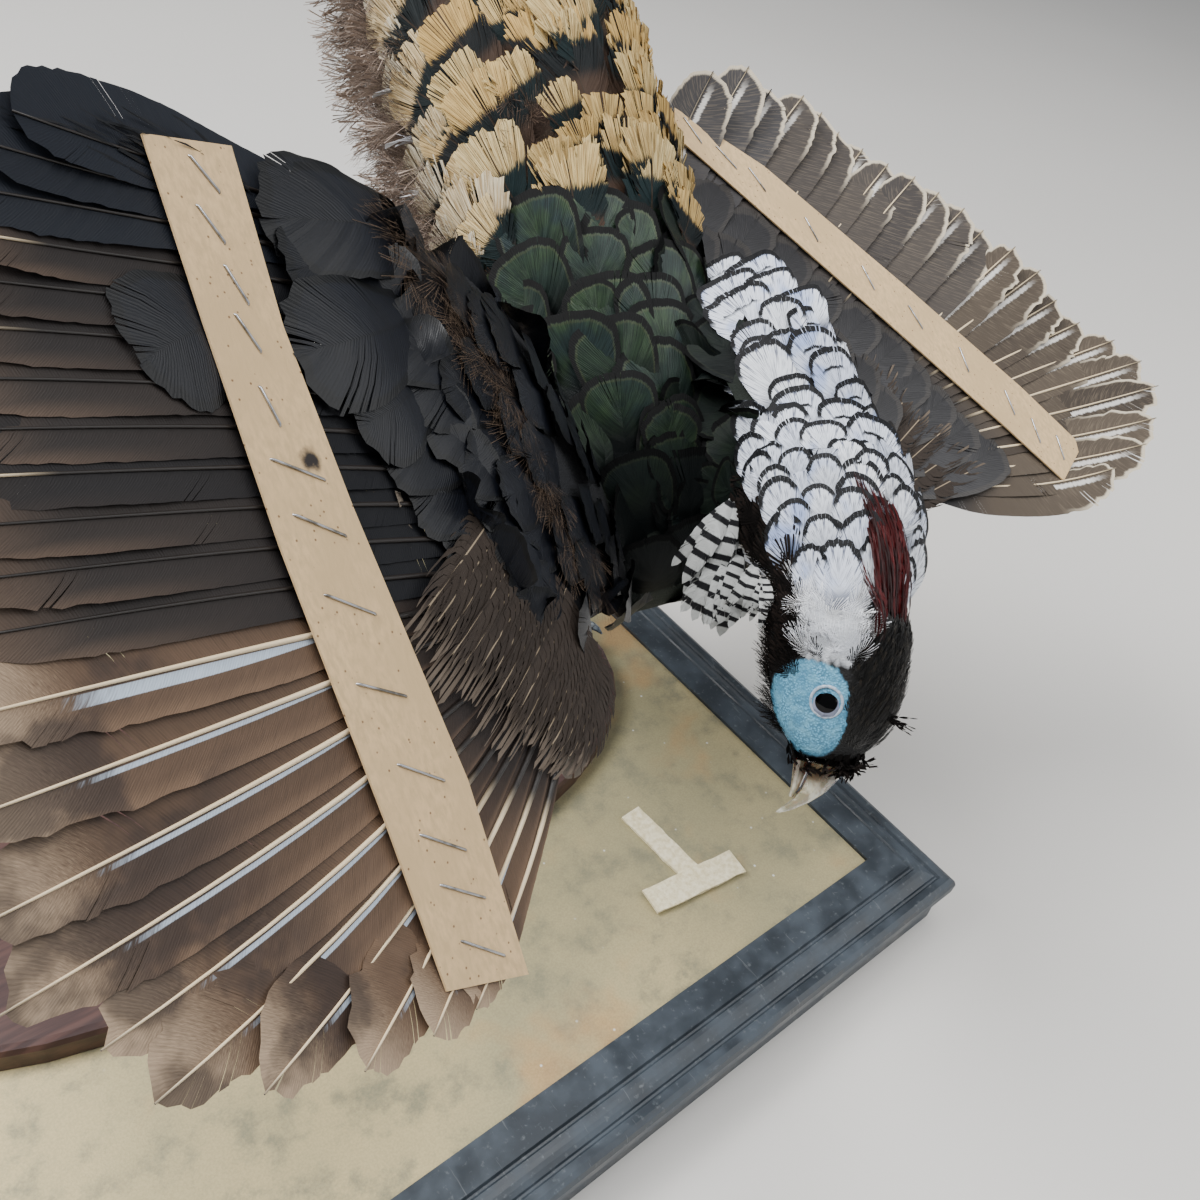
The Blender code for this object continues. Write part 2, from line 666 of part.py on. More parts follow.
def make_coverts(body):
    """Long upper tail coverts over the tail's root, and soft under coverts below it."""
    for name, rise, half_width, length, colour in (
        ("tail_coverts_upper", 0.0185, 0.026, COVERT_LENGTH, "red"),
        ("tail_coverts_under", -0.0255, 0.022, 0.110, "black"),
    ):
        path = [p + DORSAL * rise for p in tail_path(length, 7)]
        thick = [0.0045, 0.0050, 0.0045, 0.0038, 0.0030, 0.0020, 0.0010]
        rings = []
        for k, middle in enumerate(path):
            ahead = (path[min(k + 1, 6)] - path[max(k - 1, 0)]).normalized()
            side = ahead.cross(Vector((0, 0, 1))).normalized()
            up = side.cross(ahead).normalized()
            w = taper(7, half_width, 0.9, 0.3)[k] + 0.003
            rings.append(oval(middle, side, up, w, thick[k], thick[k], 12))
        piece = loft(name, rings, colour)
        cut(piece, body)


# ---------------------------------------------------------------- legs
def tube_rings(path, radii, steps=10, flat=1.0):
    rings = []
    for k, middle in enumerate(path):
        ahead = (path[min(k + 1, len(path) - 1)] - path[max(k - 1, 0)]).normalized()
        side = ahead.cross(Vector((0.31, 0.05, 0.95))).normalized()
        if abs(ahead.z) > 0.9:
            side = Vector((1, 0, 0))
        up = side.cross(ahead).normalized()
        rings.append(oval(middle, side, up, radii[k], radii[k] * flat, radii[k] * flat, steps))
    return rings


def make_foot(hand, heel, ground):
    """Three front toes and a raised hind toe, joined, with flat soles and claws."""
    pieces = []
    for angle, length, radius in TOES:
        turn = math.radians(angle + 270)
        ahead = Vector((math.cos(turn), math.sin(turn), 0))
        lift = 0.0040 if length < 0.02 else 0.0
        points = []
        knuckles = ((-0.08, 1.3), (0.15, 1.2), (0.45, 1.0), (0.75, 1.0), (0.88, 1.25), (0.96, 0.95), (1.03, 0.35))
        for s, z in knuckles:
            rise = Vector((0, 0, ground - heel.z + radius * z + lift * (1 - s)))
            points.append(heel + ahead * length * s + rise)
        radii = [radius * k for k in (0.9, 1.0, 0.95, 0.85, 0.62, 0.42, 0.14)]
        pieces.append(loft(f"toe_{hand}_{len(pieces)}", tube_rings(points, radii, 8), "leg", bool(pieces)))
    hub = ball(f"hub_{hand}", Vector((heel.x, heel.y, ground + 0.0066)), 0.0064, None, True, (10, 6))
    foot = pieces[0]
    foot.name = f"foot_{hand}"
    for other in [*pieces[1:], hub]:
        join = foot.modifiers.new("join", "BOOLEAN")
        join.operation = "UNION"
        join.object = other
    mesh = bmesh.new()
    bmesh.ops.create_cube(mesh, size=0.2)
    bmesh.ops.translate(mesh, verts=mesh.verts, vec=(heel.x, heel.y, ground - 0.1))
    sole = finished(f"sole_{hand}", mesh, None, True)
    cut(foot, sole)
    return foot


def make_legs(body, plank_top):
    """Feathered thigh, scaled shank with its spur, and foot, standing on the plank."""
    ground = plank_top + GAP
    for hand, sign in (("R", 1), ("L", -1)):
        x, y = FEET[hand]
        heel = Vector((x, y, ground + 0.0062))
        hip = MANTLE + REARWARD * HIP_ALONG - DORSAL * 0.022 + BIRD_RIGHT * sign * HIP_OUT
        ankle = heel + Vector((0.004 * -sign, 0.020, TARSUS_LENGTH - 0.004))
        knee = hip.lerp(ankle, 0.45) + Vector((0, -0.012, 0))
        low_end = ankle + (hip - ankle).normalized() * 0.004
        thigh_path = [Vector(p) for p in smooth_path((hip, knee, low_end), 8)]
        radii = spread((0.018, 0.023, 0.0145, 0.0068), 8)
        thigh = loft(f"thigh_{hand}", tube_rings(thigh_path, radii, 14), "thigh")
        cut(thigh, body)
        toward = (heel - ankle).normalized()
        top, low = ankle, heel - toward * 0.0035
        shank_path = [top.lerp(low, s) for s in (0, 0.08, 0.3, 0.6, 0.9, 1)]
        radii = [TARSUS_RADIUS * k for k in (1.25, 1.3, 0.95, 0.9, 1.0, 1.0)]
        shank = loft(f"shank_{hand}", tube_rings(shank_path, radii, 10), "leg")
        spur_root = top.lerp(low, 0.62)
        back = Vector((0, 0.95, 0.10)).normalized()
        spur_path = [spur_root + back * d for d in (0.0, 0.005, 0.0105)]
        spur = loft(f"spur_{hand}", tube_rings(spur_path, (0.0024, 0.0017, 0.0004), 8), None, True)
        grow = shank.modifiers.new("spur", "BOOLEAN")
        grow.operation = "UNION"
        grow.object = spur
        foot = make_foot(hand, heel, ground)
        keep = loft(f"shank_cutter_{hand}", tube_rings(shank_path, [r + GAP for r in radii], 10), None, True)
        cut(foot, keep)
        radii = spread((0.018, 0.023, 0.0145, 0.0071), 8)
        stop = loft(f"thigh_cutter_{hand}", tube_rings(thigh_path, radii, 14), None, True)
        clear = shank.modifiers.new("clear", "BOOLEAN")
        clear.operation = "DIFFERENCE"
        clear.object = stop


def main():
    plank_top = make_base()
    body, neck, cape = make_body()
    make_wings(body, neck, cape)
    make_tail(body)
    make_coverts(body)
    make_legs(body, plank_top)


main()
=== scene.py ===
"""Looks for the mounted Lady Amherst's pheasant: skin, feathers, card clamps, base and stage."""

import functools
import itertools
import math

import bmesh
import bpy
import numpy as np
from bpy.props import FloatProperty, FloatVectorProperty, IntProperty, PointerProperty
from mathutils import Matrix, Vector
from mathutils.bvhtree import BVHTree


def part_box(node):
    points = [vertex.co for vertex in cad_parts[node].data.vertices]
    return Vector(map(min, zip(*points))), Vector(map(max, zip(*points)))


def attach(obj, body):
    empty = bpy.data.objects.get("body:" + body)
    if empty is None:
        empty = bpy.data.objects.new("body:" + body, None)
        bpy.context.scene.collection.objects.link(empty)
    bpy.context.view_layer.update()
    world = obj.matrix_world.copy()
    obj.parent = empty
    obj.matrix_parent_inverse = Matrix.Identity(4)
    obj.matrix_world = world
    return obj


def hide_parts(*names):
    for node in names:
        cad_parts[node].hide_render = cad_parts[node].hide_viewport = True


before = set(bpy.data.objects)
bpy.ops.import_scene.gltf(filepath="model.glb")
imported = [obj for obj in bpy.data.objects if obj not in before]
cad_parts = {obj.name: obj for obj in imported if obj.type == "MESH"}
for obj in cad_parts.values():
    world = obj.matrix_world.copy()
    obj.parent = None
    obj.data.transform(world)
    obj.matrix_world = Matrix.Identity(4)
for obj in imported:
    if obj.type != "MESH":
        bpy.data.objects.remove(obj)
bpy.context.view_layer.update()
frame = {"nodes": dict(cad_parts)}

bl_info = {
    "name": "Mounted Pheasant",
    "version": (1, 0, 0),
    "blender": (4, 5, 0),
    "location": "3D View > Sidebar > Pheasant",
    "description": "Skin, feathers, card clamps, base and stage for a mounted pheasant",
    "category": "Object",
}

MM = 0.001


def linear(red, green, blue):
    """A colour of 0 to 255 steps as the linear values that shaders take."""
    shares = (step / 255 for step in (red, green, blue))
    return tuple(x / 12.92 if x <= 0.04045 else ((x + 0.055) / 1.055) ** 2.4 for x in shares)


def shade(colour, times):
    """A colour made darker or lighter."""
    return [min(1.0, c * times) for c in colour]


# ---------------------------------------------------------------- the bird's axes
MANTLE = Vector((0.1190, -0.0444, 0.2197))
REARWARD = Vector((0.1034, 0.7359, 0.6691)).normalized()
BIRD_RIGHT = Vector((-REARWARD.y, REARWARD.x, 0)).normalized()
DORSAL = REARWARD.cross(BIRD_RIGHT).normalized()
HEAD_FORWARD = Vector((-0.444, -0.486, -0.752)).normalized()
HEAD_RIGHT = Vector((-0.717, -0.310, 0.624)).normalized()
HEAD_UP = HEAD_RIGHT.cross(HEAD_FORWARD).normalized()
EYE_OUT = 0.0085
HEAD_MIDDLE = sum(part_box("eye_R"), Vector()) / 2 - HEAD_RIGHT * EYE_OUT
NECK_PATH = (
    Vector((0.1270, -0.0620, 0.2060)),
    Vector((0.1422, -0.1095, 0.2240)),
    Vector((0.1245, -0.1425, 0.2383)),
    HEAD_MIDDLE - HEAD_FORWARD * 0.0230,
)
CAPE_PATH = (
    Vector((0.1315, -0.1360, 0.2500)),
    Vector((0.1355, -0.1130, 0.2595)),
    Vector((0.1430, -0.0830, 0.2660)),
    Vector((0.1470, -0.0535, 0.2720)),
)
WING_PLANES = {
    "R": ((0.0318, -0.1380, 0.2345), (0.0250, 0.7401, 0.6721), (-0.9284, -0.2321, 0.2901)),
    "L": ((0.1723, -0.1153, 0.2174), (-0.5149, 0.7506, 0.4142), (0.8530, 0.4005, 0.3346)),
}
WING_FLAT_FROM, WING_FLAT_TO = 0.035, 0.085
WING_ARCH, WING_DROOP = 3.2, 1.2
# The bare face is an oval in the head's plane: its middle, its half sizes and how square it is.
FACE_AHEAD, FACE_BELOW = 0.0030, 0.0052
FACE_LONG, FACE_HIGH = 0.0135, 0.0112
FACE_ROUND = 2.6
TAIL_ROOT = MANTLE + REARWARD * 0.195
TAIL_PITCH_START, TAIL_PITCH_END = 42.0, 20.0
TAIL_LENGTH = 0.820
FLESH = ("trunk", "rump", "neck", "head", "cape", "wing_R_arm", "wing_L_arm", "thigh_R", "thigh_L")


# ---------------------------------------------------------------- settings
def colour_property(name, description, steps):
    return FloatVectorProperty(
        name=name, description=description, subtype="COLOR", size=3, min=0, max=1, default=linear(*steps)
    )


def length_property(name, description, default):
    return FloatProperty(name=name, description=description, default=default, min=0.0, unit="LENGTH")


class PheasantCoat(bpy.types.PropertyGroup):
    seed: IntProperty(name="Seed", description="Start of every random draw in the coat", default=7)
    trunk_depth: length_property("Coat on the trunk", "Depth of the skin under the trunk's coat", 0.0042)
    head_depth: length_property("Coat on the head", "Depth of the skin under the head's coat", 0.0010)
    mantle_scale: length_property("Mantle scale", "Width of a scale feather on the back", 0.0250)
    ruff_scale: length_property("Ruff scale", "Width of a scale feather on the cape", 0.0145)
    rump_scale: length_property("Rump scale", "Width of a feather on the rump", 0.0230)


class PheasantColours(bpy.types.PropertyGroup):
    mantle: colour_property("Mantle", "Bronze green of the back", (40, 57, 42))
    ruff: colour_property("Ruff", "Bluish white of the cape", (240, 244, 250))
    black: colour_property("Feather black", "Borders, crown and throat", (8, 8, 9))
    rump: colour_property("Rump", "Buff yellow of the rump", (214, 176, 104))
    crest: colour_property("Crest", "Maroon of the crest", (58, 10, 11))
    face: colour_property("Face", "Blue of the bare face", (84, 150, 182))
    covert: colour_property("Wing covert", "Blue black of the near wing", (12, 15, 23))
    flight: colour_property("Flight feather", "Brown of the primaries", (80, 62, 49))
    shaft: colour_property("Feather shaft", "Cream of the shafts", (214, 190, 152))
    belly: colour_property("Belly", "White of the underparts", (228, 226, 220))


class PheasantMount(bpy.types.PropertyGroup):
    card: colour_property("Card", "Kraft card of the clamps", (204, 174, 130))
    lacquer: colour_property("Lacquer", "Dusty black moulding", (66, 75, 84))
    gold: colour_property("Gold panel", "Aged gold paper", (200, 184, 138))
    plank: colour_property("Plank", "Dark red-brown plank", (56, 34, 32))
    staple_length: length_property("Staple", "Length of a staple's crown", 0.0135)
    staple_wire: length_property("Staple wire", "Thickness of the staple's wire", 0.0006)


# ---------------------------------------------------------------- materials
class Value:
    """A number or colour that varies over a surface; sums with one become Math nodes."""

    def __init__(self, paint, socket):
        self.paint, self.socket = paint, socket

    def __add__(self, other):
        return self.paint.math("ADD", self, other)

    def __sub__(self, other):
        return self.paint.math("SUBTRACT", self, other)

    def __rsub__(self, other):
        return self.paint.math("SUBTRACT", other, self)

    def __mul__(self, other):
        return self.paint.math("MULTIPLY", self, other)

    def __truediv__(self, other):
        return self.paint.math("DIVIDE", self, other)

    def __pow__(self, other):
        return self.paint.math("POWER", self, other)

    def __abs__(self):
        return self.paint.math("ABSOLUTE", self)

    def between(self, low, high, to_low=0.0, to_high=1.0):
        """The value's place from low to high, smoothed, as to_low to to_high."""
        numbers = (self, low, high, to_low, to_high)
        return self.paint.node("MapRange", dict(enumerate(numbers)), interpolation_type="SMOOTHSTEP")


class Paint:
    """A node material being mixed from Values and plain numbers."""

    def __init__(self, name, roughness=0.6):
        self.material = bpy.data.materials.new(name)
        self.material.use_nodes = True
        self.tree = self.material.node_tree
        self.shader = self.tree.nodes["Principled BSDF"]
        self.shader.inputs["Roughness"].default_value = roughness

    def fill(self, socket, value):
        if isinstance(value, Value):
            self.tree.links.new(value.socket, socket)
        elif hasattr(socket.default_value, "__len__") and not hasattr(value, "__len__"):
            socket.default_value = [value] * len(socket.default_value)
        elif hasattr(value, "__len__") and len(socket.default_value) == 4 and len(value) == 3:
            socket.default_value = (*value, 1)
        else:
            socket.default_value = value

    def node(self, kind, inputs, output=0, **settings):
        """Adds a node with filled inputs, and gives one of its outputs."""
        made = self.tree.nodes.new(f"ShaderNode{kind}")
        for key, value in settings.items():
            setattr(made, key, value)
        for key, value in inputs.items():
            self.fill(made.inputs[key], value)
        return Value(self, made.outputs[output])

    def math(self, operation, *values):
        return self.node("Math", dict(enumerate(values)), operation=operation)

    def mix(self, share, one, two, blend="MIX"):
        inputs = {"Factor": share, "A": one, "B": two}
        return self.node("Mix", inputs, "Result", data_type="RGBA", blend_type=blend)

    def place(self, scale=(1, 1, 1)):
        return self.node("Mapping", {"Vector": self.node("TexCoord", {}, "Object"), "Scale": scale})

    def noise(self, scale, detail=3.0, place=None, rough=0.55, stretch=(1, 1, 1)):
        inputs = {"Vector": place or self.place(stretch), "Scale": scale, "Detail": detail,
                  "Roughness": rough}
        return self.node("TexNoise", inputs)

    def grain(self, scale, detail=3.0):
        """Noise laid along the barbs of a vane."""
        return self.noise(scale, detail, self.node("UVMap", {}, uv_map="Barbs"))

    def cells(self, scale, place=None, feature="F1"):
        inputs = {"Vector": place or self.place(), "Scale": scale}
        return self.node("TexVoronoi", inputs, "Distance", feature=feature)

    def map_parts(self, name):
        """The two coordinates of one of the piece's UV maps."""
        first = self.node("SeparateXYZ", {0: self.node("UVMap", {}, uv_map=name)})
        return first, Value(self, first.socket.node.outputs[1])

    def own(self, name):
        return self.node("Attribute", {}, "Fac", attribute_name=name)

    def toward(self, origin, direction):
        """Distance of a place from origin along a direction, in metres."""
        away = self.node("VectorMath", {0: self.place(), 1: origin}, operation="SUBTRACT")
        return self.node("VectorMath", {0: away, 1: direction}, "Value", operation="DOT_PRODUCT")

    def colour(self, value):
        return self.set(Base_Color=value)

    def rough(self, value):
        return self.set(Roughness=value)

    def bump(self, height, strength=0.3, distance=0.0004):
        inputs = {"Strength": strength, "Distance": distance, "Height": height}
        return self.set(Normal=self.node("Bump", inputs))

    def set(self, **values):
        for key, value in values.items():
            self.fill(self.shader.inputs[key.replace("_", " ")], value)
        return self


def dress(thing, paint):
    """Gives an object one finished material."""
    thing.data.materials.clear()
    thing.data.materials.append(paint.material)


# ---------------------------------------------------------------- mesh helpers
def link(mesh, name):
    made = bpy.data.objects.new(name, mesh)
    bpy.context.scene.collection.objects.link(made)
    return made


def settle(piece, replaced=()):
    """A finished piece rides on the root, and stands for the nodes it replaces."""
    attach(piece, "root")
    if replaced:
        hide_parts(*replaced)
    return piece


def alone(thing):
    """Selects one object and makes it active."""
    bpy.ops.object.select_all(action="DESELECT")
    thing.select_set(True)
    bpy.context.view_layer.objects.active = thing


def apply_all(thing):
    alone(thing)
    for step in list(thing.modifiers):
        bpy.ops.object.modifier_apply(modifier=step.name)


def join(things, name):
    """Makes several objects one."""
    alone(things[0])
    for thing in things:
        thing.select_set(True)
    bpy.ops.object.join()
    things[0].name = name
    return things[0]


def edit(thing, step, **settings):
    """Runs one mesh operator over the whole of an object."""
    alone(thing)
    bpy.ops.object.mode_set(mode="EDIT")
    bpy.ops.mesh.select_all(action="SELECT")
    step(**settings)
    bpy.ops.object.mode_set(mode="OBJECT")


def read(rows, key, width=1, kind=np.float32):
    """One property of all the rows of a mesh, as an array."""
    found = np.zeros(len(rows) * width, kind)
    rows.foreach_get(key, found)
    return found.reshape(-1, width) if width > 1 else found


def smooth_path(points, count):
    """A curve through the points (Catmull-Rom), sampled evenly in its parameter."""
    p = np.array([tuple(x) for x in points], float)
    p = np.vstack([2 * p[0] - p[1], p, 2 * p[-1] - p[-2]])
    spans = len(p) - 3
    found = []
    for k in range(count):
        at = min(k / (count - 1) * spans, spans - 1e-9)
        i = int(at)
        t = at - i
        a, b, c, d = p[i : i + 4]
        bend = 2 * b + (c - a) * t + (2 * a - 5 * b + 4 * c - d) * t**2 + (3 * b - a - 3 * c + d) * t**3
        found.append(0.5 * bend)
    return np.array(found)


def unit(vectors):
    return vectors / np.maximum(np.linalg.norm(vectors, axis=-1, keepdims=True), 1e-12)


def blade_axes(points, up=(0, 0, 1), lean=0.0):
    """Sideways and outward directions down a feather that faces up, leaning to one side."""
    ways = unit(np.gradient(np.array(points), axis=0))
    sides = unit(np.cross(ways, up))
    sides = unit(sides + np.cross(sides, ways) * lean)
    return sides, unit(np.cross(sides, ways))


# ---------------------------------------------------------------- feathers
def leaf_outline(base=0.35, wide_at=0.55, tip_power=2.0, steps=60):
    """Half a feather's outline, from its base to its tip, in half widths and lengths."""
    y = np.linspace(0.0, 1.0, steps)
    low = base + (1 - base) * np.sin(0.5 * math.pi * np.clip(y / wide_at, 0, 1))
    high = np.clip(1 - np.clip((y - wide_at) / (1 - wide_at), 0, 1) ** tip_power, 0, 1) ** (1 / tip_power)
    return low * high, y


OUTLINES = {
    "scale": leaf_outline(0.35, 0.58, 2.3),
    "broad": leaf_outline(0.45, 0.70, 2.6),
    "leaf": leaf_outline(0.30, 0.45, 1.8),
    "lance": leaf_outline(0.30, 0.35, 1.35),
    "square": leaf_outline(0.45, 0.74, 4.5),
    "flight": leaf_outline(0.55, 0.78, 2.7),
    "long": leaf_outline(0.60, 0.30, 1.6),
}
DOWN = dict(fray=0.45, split=0.9, loose=0.84, thin=0.8, shaft_end=0.32)


class Plumage:
    """Vanes of one pattern, joined into one mesh.

    Each vane is two rows of barb bundles that leave its shaft and end on its outline.
    """

    def __init__(self, outline, bundles, across, seed, fray=0.06, split=0.25, rare=1.0, loose=0.0, thin=0.0,
                 worn=0.0, lag=1.18, shaft_end=0.88, comb=0.0):
        self.outline, self.bundles, self.across = outline, bundles, across
        self.fray, self.split, self.rare, self.loose, self.worn = fray, split, rare, loose, worn
        self.thin, self.lag, self.shaft_end, self.comb = thin, lag, shaft_end, comb
        self.random = np.random.default_rng(seed)
        self.spines, self.sides, self.normals, self.widths = [], [], [], []
        self.tints, self.zones, self.roots = [], [], []

    def add(self, spine, side, normal, width, root_place, tint=None, zone=0.0):
        """Places along one feather, its sideways and outward directions, and its half widths."""
        self.spines.append(np.array(spine, float))
        self.sides.append(np.array(side, float))
        self.normals.append(np.array(normal, float))
        width = np.array(width, float)
        if width.ndim == 0:
            width = np.full((len(spine), 2), float(width))
        self.widths.append(width)
        self.tints.append(self.random.random() if tint is None else tint)
        self.zones.append(zone)
        self.roots.append(root_place)

    def plan(self, aspect):
        """Ends of each barb on the shaft and on the outline, in half widths and lengths."""
        x, y = OUTLINES[self.outline]
        reach = np.concatenate([[0], np.cumsum(np.hypot(np.diff(x), np.diff(y) * aspect))])
        share = np.linspace(0.0, 1.0, self.bundles + 1)
        at = reach[-1] * share**0.95
        ends = np.stack([np.interp(at, reach, x), np.interp(at, reach, y)], 1)
        starts = np.stack([np.zeros(len(share)), 0.02 + (self.shaft_end - 0.02) * share**self.lag], 1)
        return starts, ends

    def mesh(self, name, camber=4.0, ruffle=0.0, patch=0.003, wave=0.0, sheen=0.3):
        spine, side, normal = (np.stack(rows) for rows in (self.spines, self.sides, self.normals))
        width = np.stack(self.widths)
        count, steps = spine.shape[:2]
        lengths = np.linalg.norm(np.diff(spine, axis=1), axis=2).sum(1)
        aspect = float(np.median(lengths) / np.median(width))
        starts, ends = self.plan(aspect)
        n, m = self.bundles, self.across
        along = np.linspace(0, 1, m + 1)
        draw = self.random
        # Arrays are (feather, side, bundle, edge of the bundle, place along the barb).
        shape = (count, 2, n, 2, m + 1)
        edges = lambda values: np.stack([values[:-1], values[1:]], 1)
        open_share = draw.random((count, 2, n)) ** 3 * self.split * (draw.random((count, 2, n)) < self.rare)
        open_share = np.minimum(self.loose + (1 - self.loose) * open_share, 0.92)
        # Neighbouring bundles share the reach of their common edge, unless they part.
        jag = draw.random((count, 2, n + 1))
        jag = np.stack([jag[..., :-1], jag[..., 1:]], -1)
        parted = np.clip(open_share * 3, 0, 1)[..., None]
        jag = jag * (1 - parted) + draw.random((count, 2, n, 1)) * parted
        worn = edges(np.interp(ends[:, 1], (0.72, 1.0), (0.0, self.worn)))
        reach = 1 - jag * (self.fray * (0.4 + 0.6 * draw.random((count, 1, 1, 1))) + worn)
        start, end = edges(starts), edges(ends)
        start = start + (start.mean(1, keepdims=True) - start) * self.thin
        middle = end.mean(1, keepdims=True)
        start = np.broadcast_to(start, (count, 2, n, 2, 2))
        end = end + (middle - end) * open_share[..., None, None]
        end = start + (end - start) * reach[..., None]
        # Combed barbs leave the shaft sideways and end along it.
        aside = along * (1 - self.comb) + (1 - (1 - along) ** 2.2) * self.comb
        bow = along ** (1.25 + self.comb)
        x = start[..., None, 0] + (end[..., None, 0] - start[..., None, 0]) * aside
        y = start[..., None, 1] + (end[..., None, 1] - start[..., None, 1]) * bow
        hand = np.array([-1.0, 1.0])[None, :, None, None, None]
        x, y = np.broadcast_to(x * hand, shape), np.broadcast_to(y, shape)
        at = np.clip(y, 0, 1) * (steps - 1)
        low = np.minimum(at.astype(int), steps - 2)
        part = (at - low)[..., None]
        row = np.arange(count)[:, None, None, None, None]
        blend = lambda values: values[row, low] * (1 - part) + values[row, low + 1] * part
        half = blend(width)
        half = np.where(x < 0, half[..., 0], half[..., 1])
        out = blend(normal)
        away = x * half
        lift = -camber * away**2
        if wave:
            turns = draw.uniform(1.5, 3.0, (count, 2))[..., None, None, None]
            start_at = draw.uniform(0, 2 * math.pi, (count, 2))[..., None, None, None]
            lift = lift + wave * np.sin(turns * 2 * math.pi * y + start_at) * along
        if ruffle:
            lift = lift + ruffle * (jag[..., None] - 0.3) * along**2 * (0.3 + y)
        points = blend(spine) + blend(side) * away[..., None] + out * lift[..., None]
        leaning = 2 * camber * away + (draw.random((count, 2, n)) - 0.5)[..., None, None] * sheen
        facing = unit(out + blend(side) * leaning[..., None])
        shaft_to_end = np.hypot((end[..., 0] - start[..., 0]), (end[..., 1] - start[..., 1]) * aspect)
        span = np.median(width) / MM
        rim = shaft_to_end[..., None] * span * (1 - along)
        grain = edges(np.arange(1.0, n + 2))[None, None, :, :, None]
        grain = np.broadcast_to(grain * float(np.median(lengths)) / MM / n, shape)
        index = np.arange(np.prod(shape)).reshape(shape)
        a, b = index[..., 0, :-1], index[..., 0, 1:]
        c, d = index[..., 1, 1:], index[..., 1, :-1]
        quads = np.stack([a, b, c, d], -1)
        quads[:, 0] = quads[:, 0][..., ::-1]
        quads = quads.reshape(-1, 4)
        flat = points.reshape(-1, 3)
        made = bpy.data.meshes.new(name)
        made.vertices.add(len(flat))
        made.vertices.foreach_set("co", flat.astype(np.float32).ravel())
        made.loops.add(len(quads) * 4)
        made.loops.foreach_set("vertex_index", quads.astype(np.int32).ravel())
        made.polygons.add(len(quads))
        made.polygons.foreach_set("loop_start", np.arange(0, len(quads) * 4, 4, dtype=np.int32))
        made.update(calc_edges=True)
        corner = quads.ravel()
        roots = np.array(self.roots, float)[:, None, None, None, None]
        roots = np.broadcast_to(roots, (*shape, 2)).reshape(-1, 2)
        barb = np.broadcast_to(along, shape)
        local = np.stack([x * 0.5 + 0.5, y], -1).reshape(-1, 2)
        lines = np.stack([barb, grain], -1).reshape(-1, 2)
        maps = {"OFBake": self.baked(local, roots, patch), "Vane": local, "Barbs": lines}
        for key, values in maps.items():
            layer = made.uv_layers.new(name=key)
            layer.data.foreach_set("uv", values[corner].astype(np.float32).ravel())
        each = lambda values: np.broadcast_to(np.array(values, float)[:, None, None, None, None], shape)
        for key, values in (("rim", rim), ("tint", each(self.tints)), ("zone", each(self.zones))):
            layer = made.attributes.new(key, "FLOAT", "POINT")
            layer.data.foreach_set("value", np.broadcast_to(values, shape).astype(np.float32).ravel())
        made.shade_smooth()
        made.normals_split_custom_set_from_vertices(facing.reshape(-1, 3))
        return made

    def baked(self, local, roots, patch):
        """A small patch for each feather at its root's place on the skin's unwrap."""
        if patch is None:
            return np.stack([roots[:, 0] + local[:, 0] * roots[:, 1], local[:, 1] * 0.98 + 0.01], 1)
        return roots + (local - 0.5) * patch


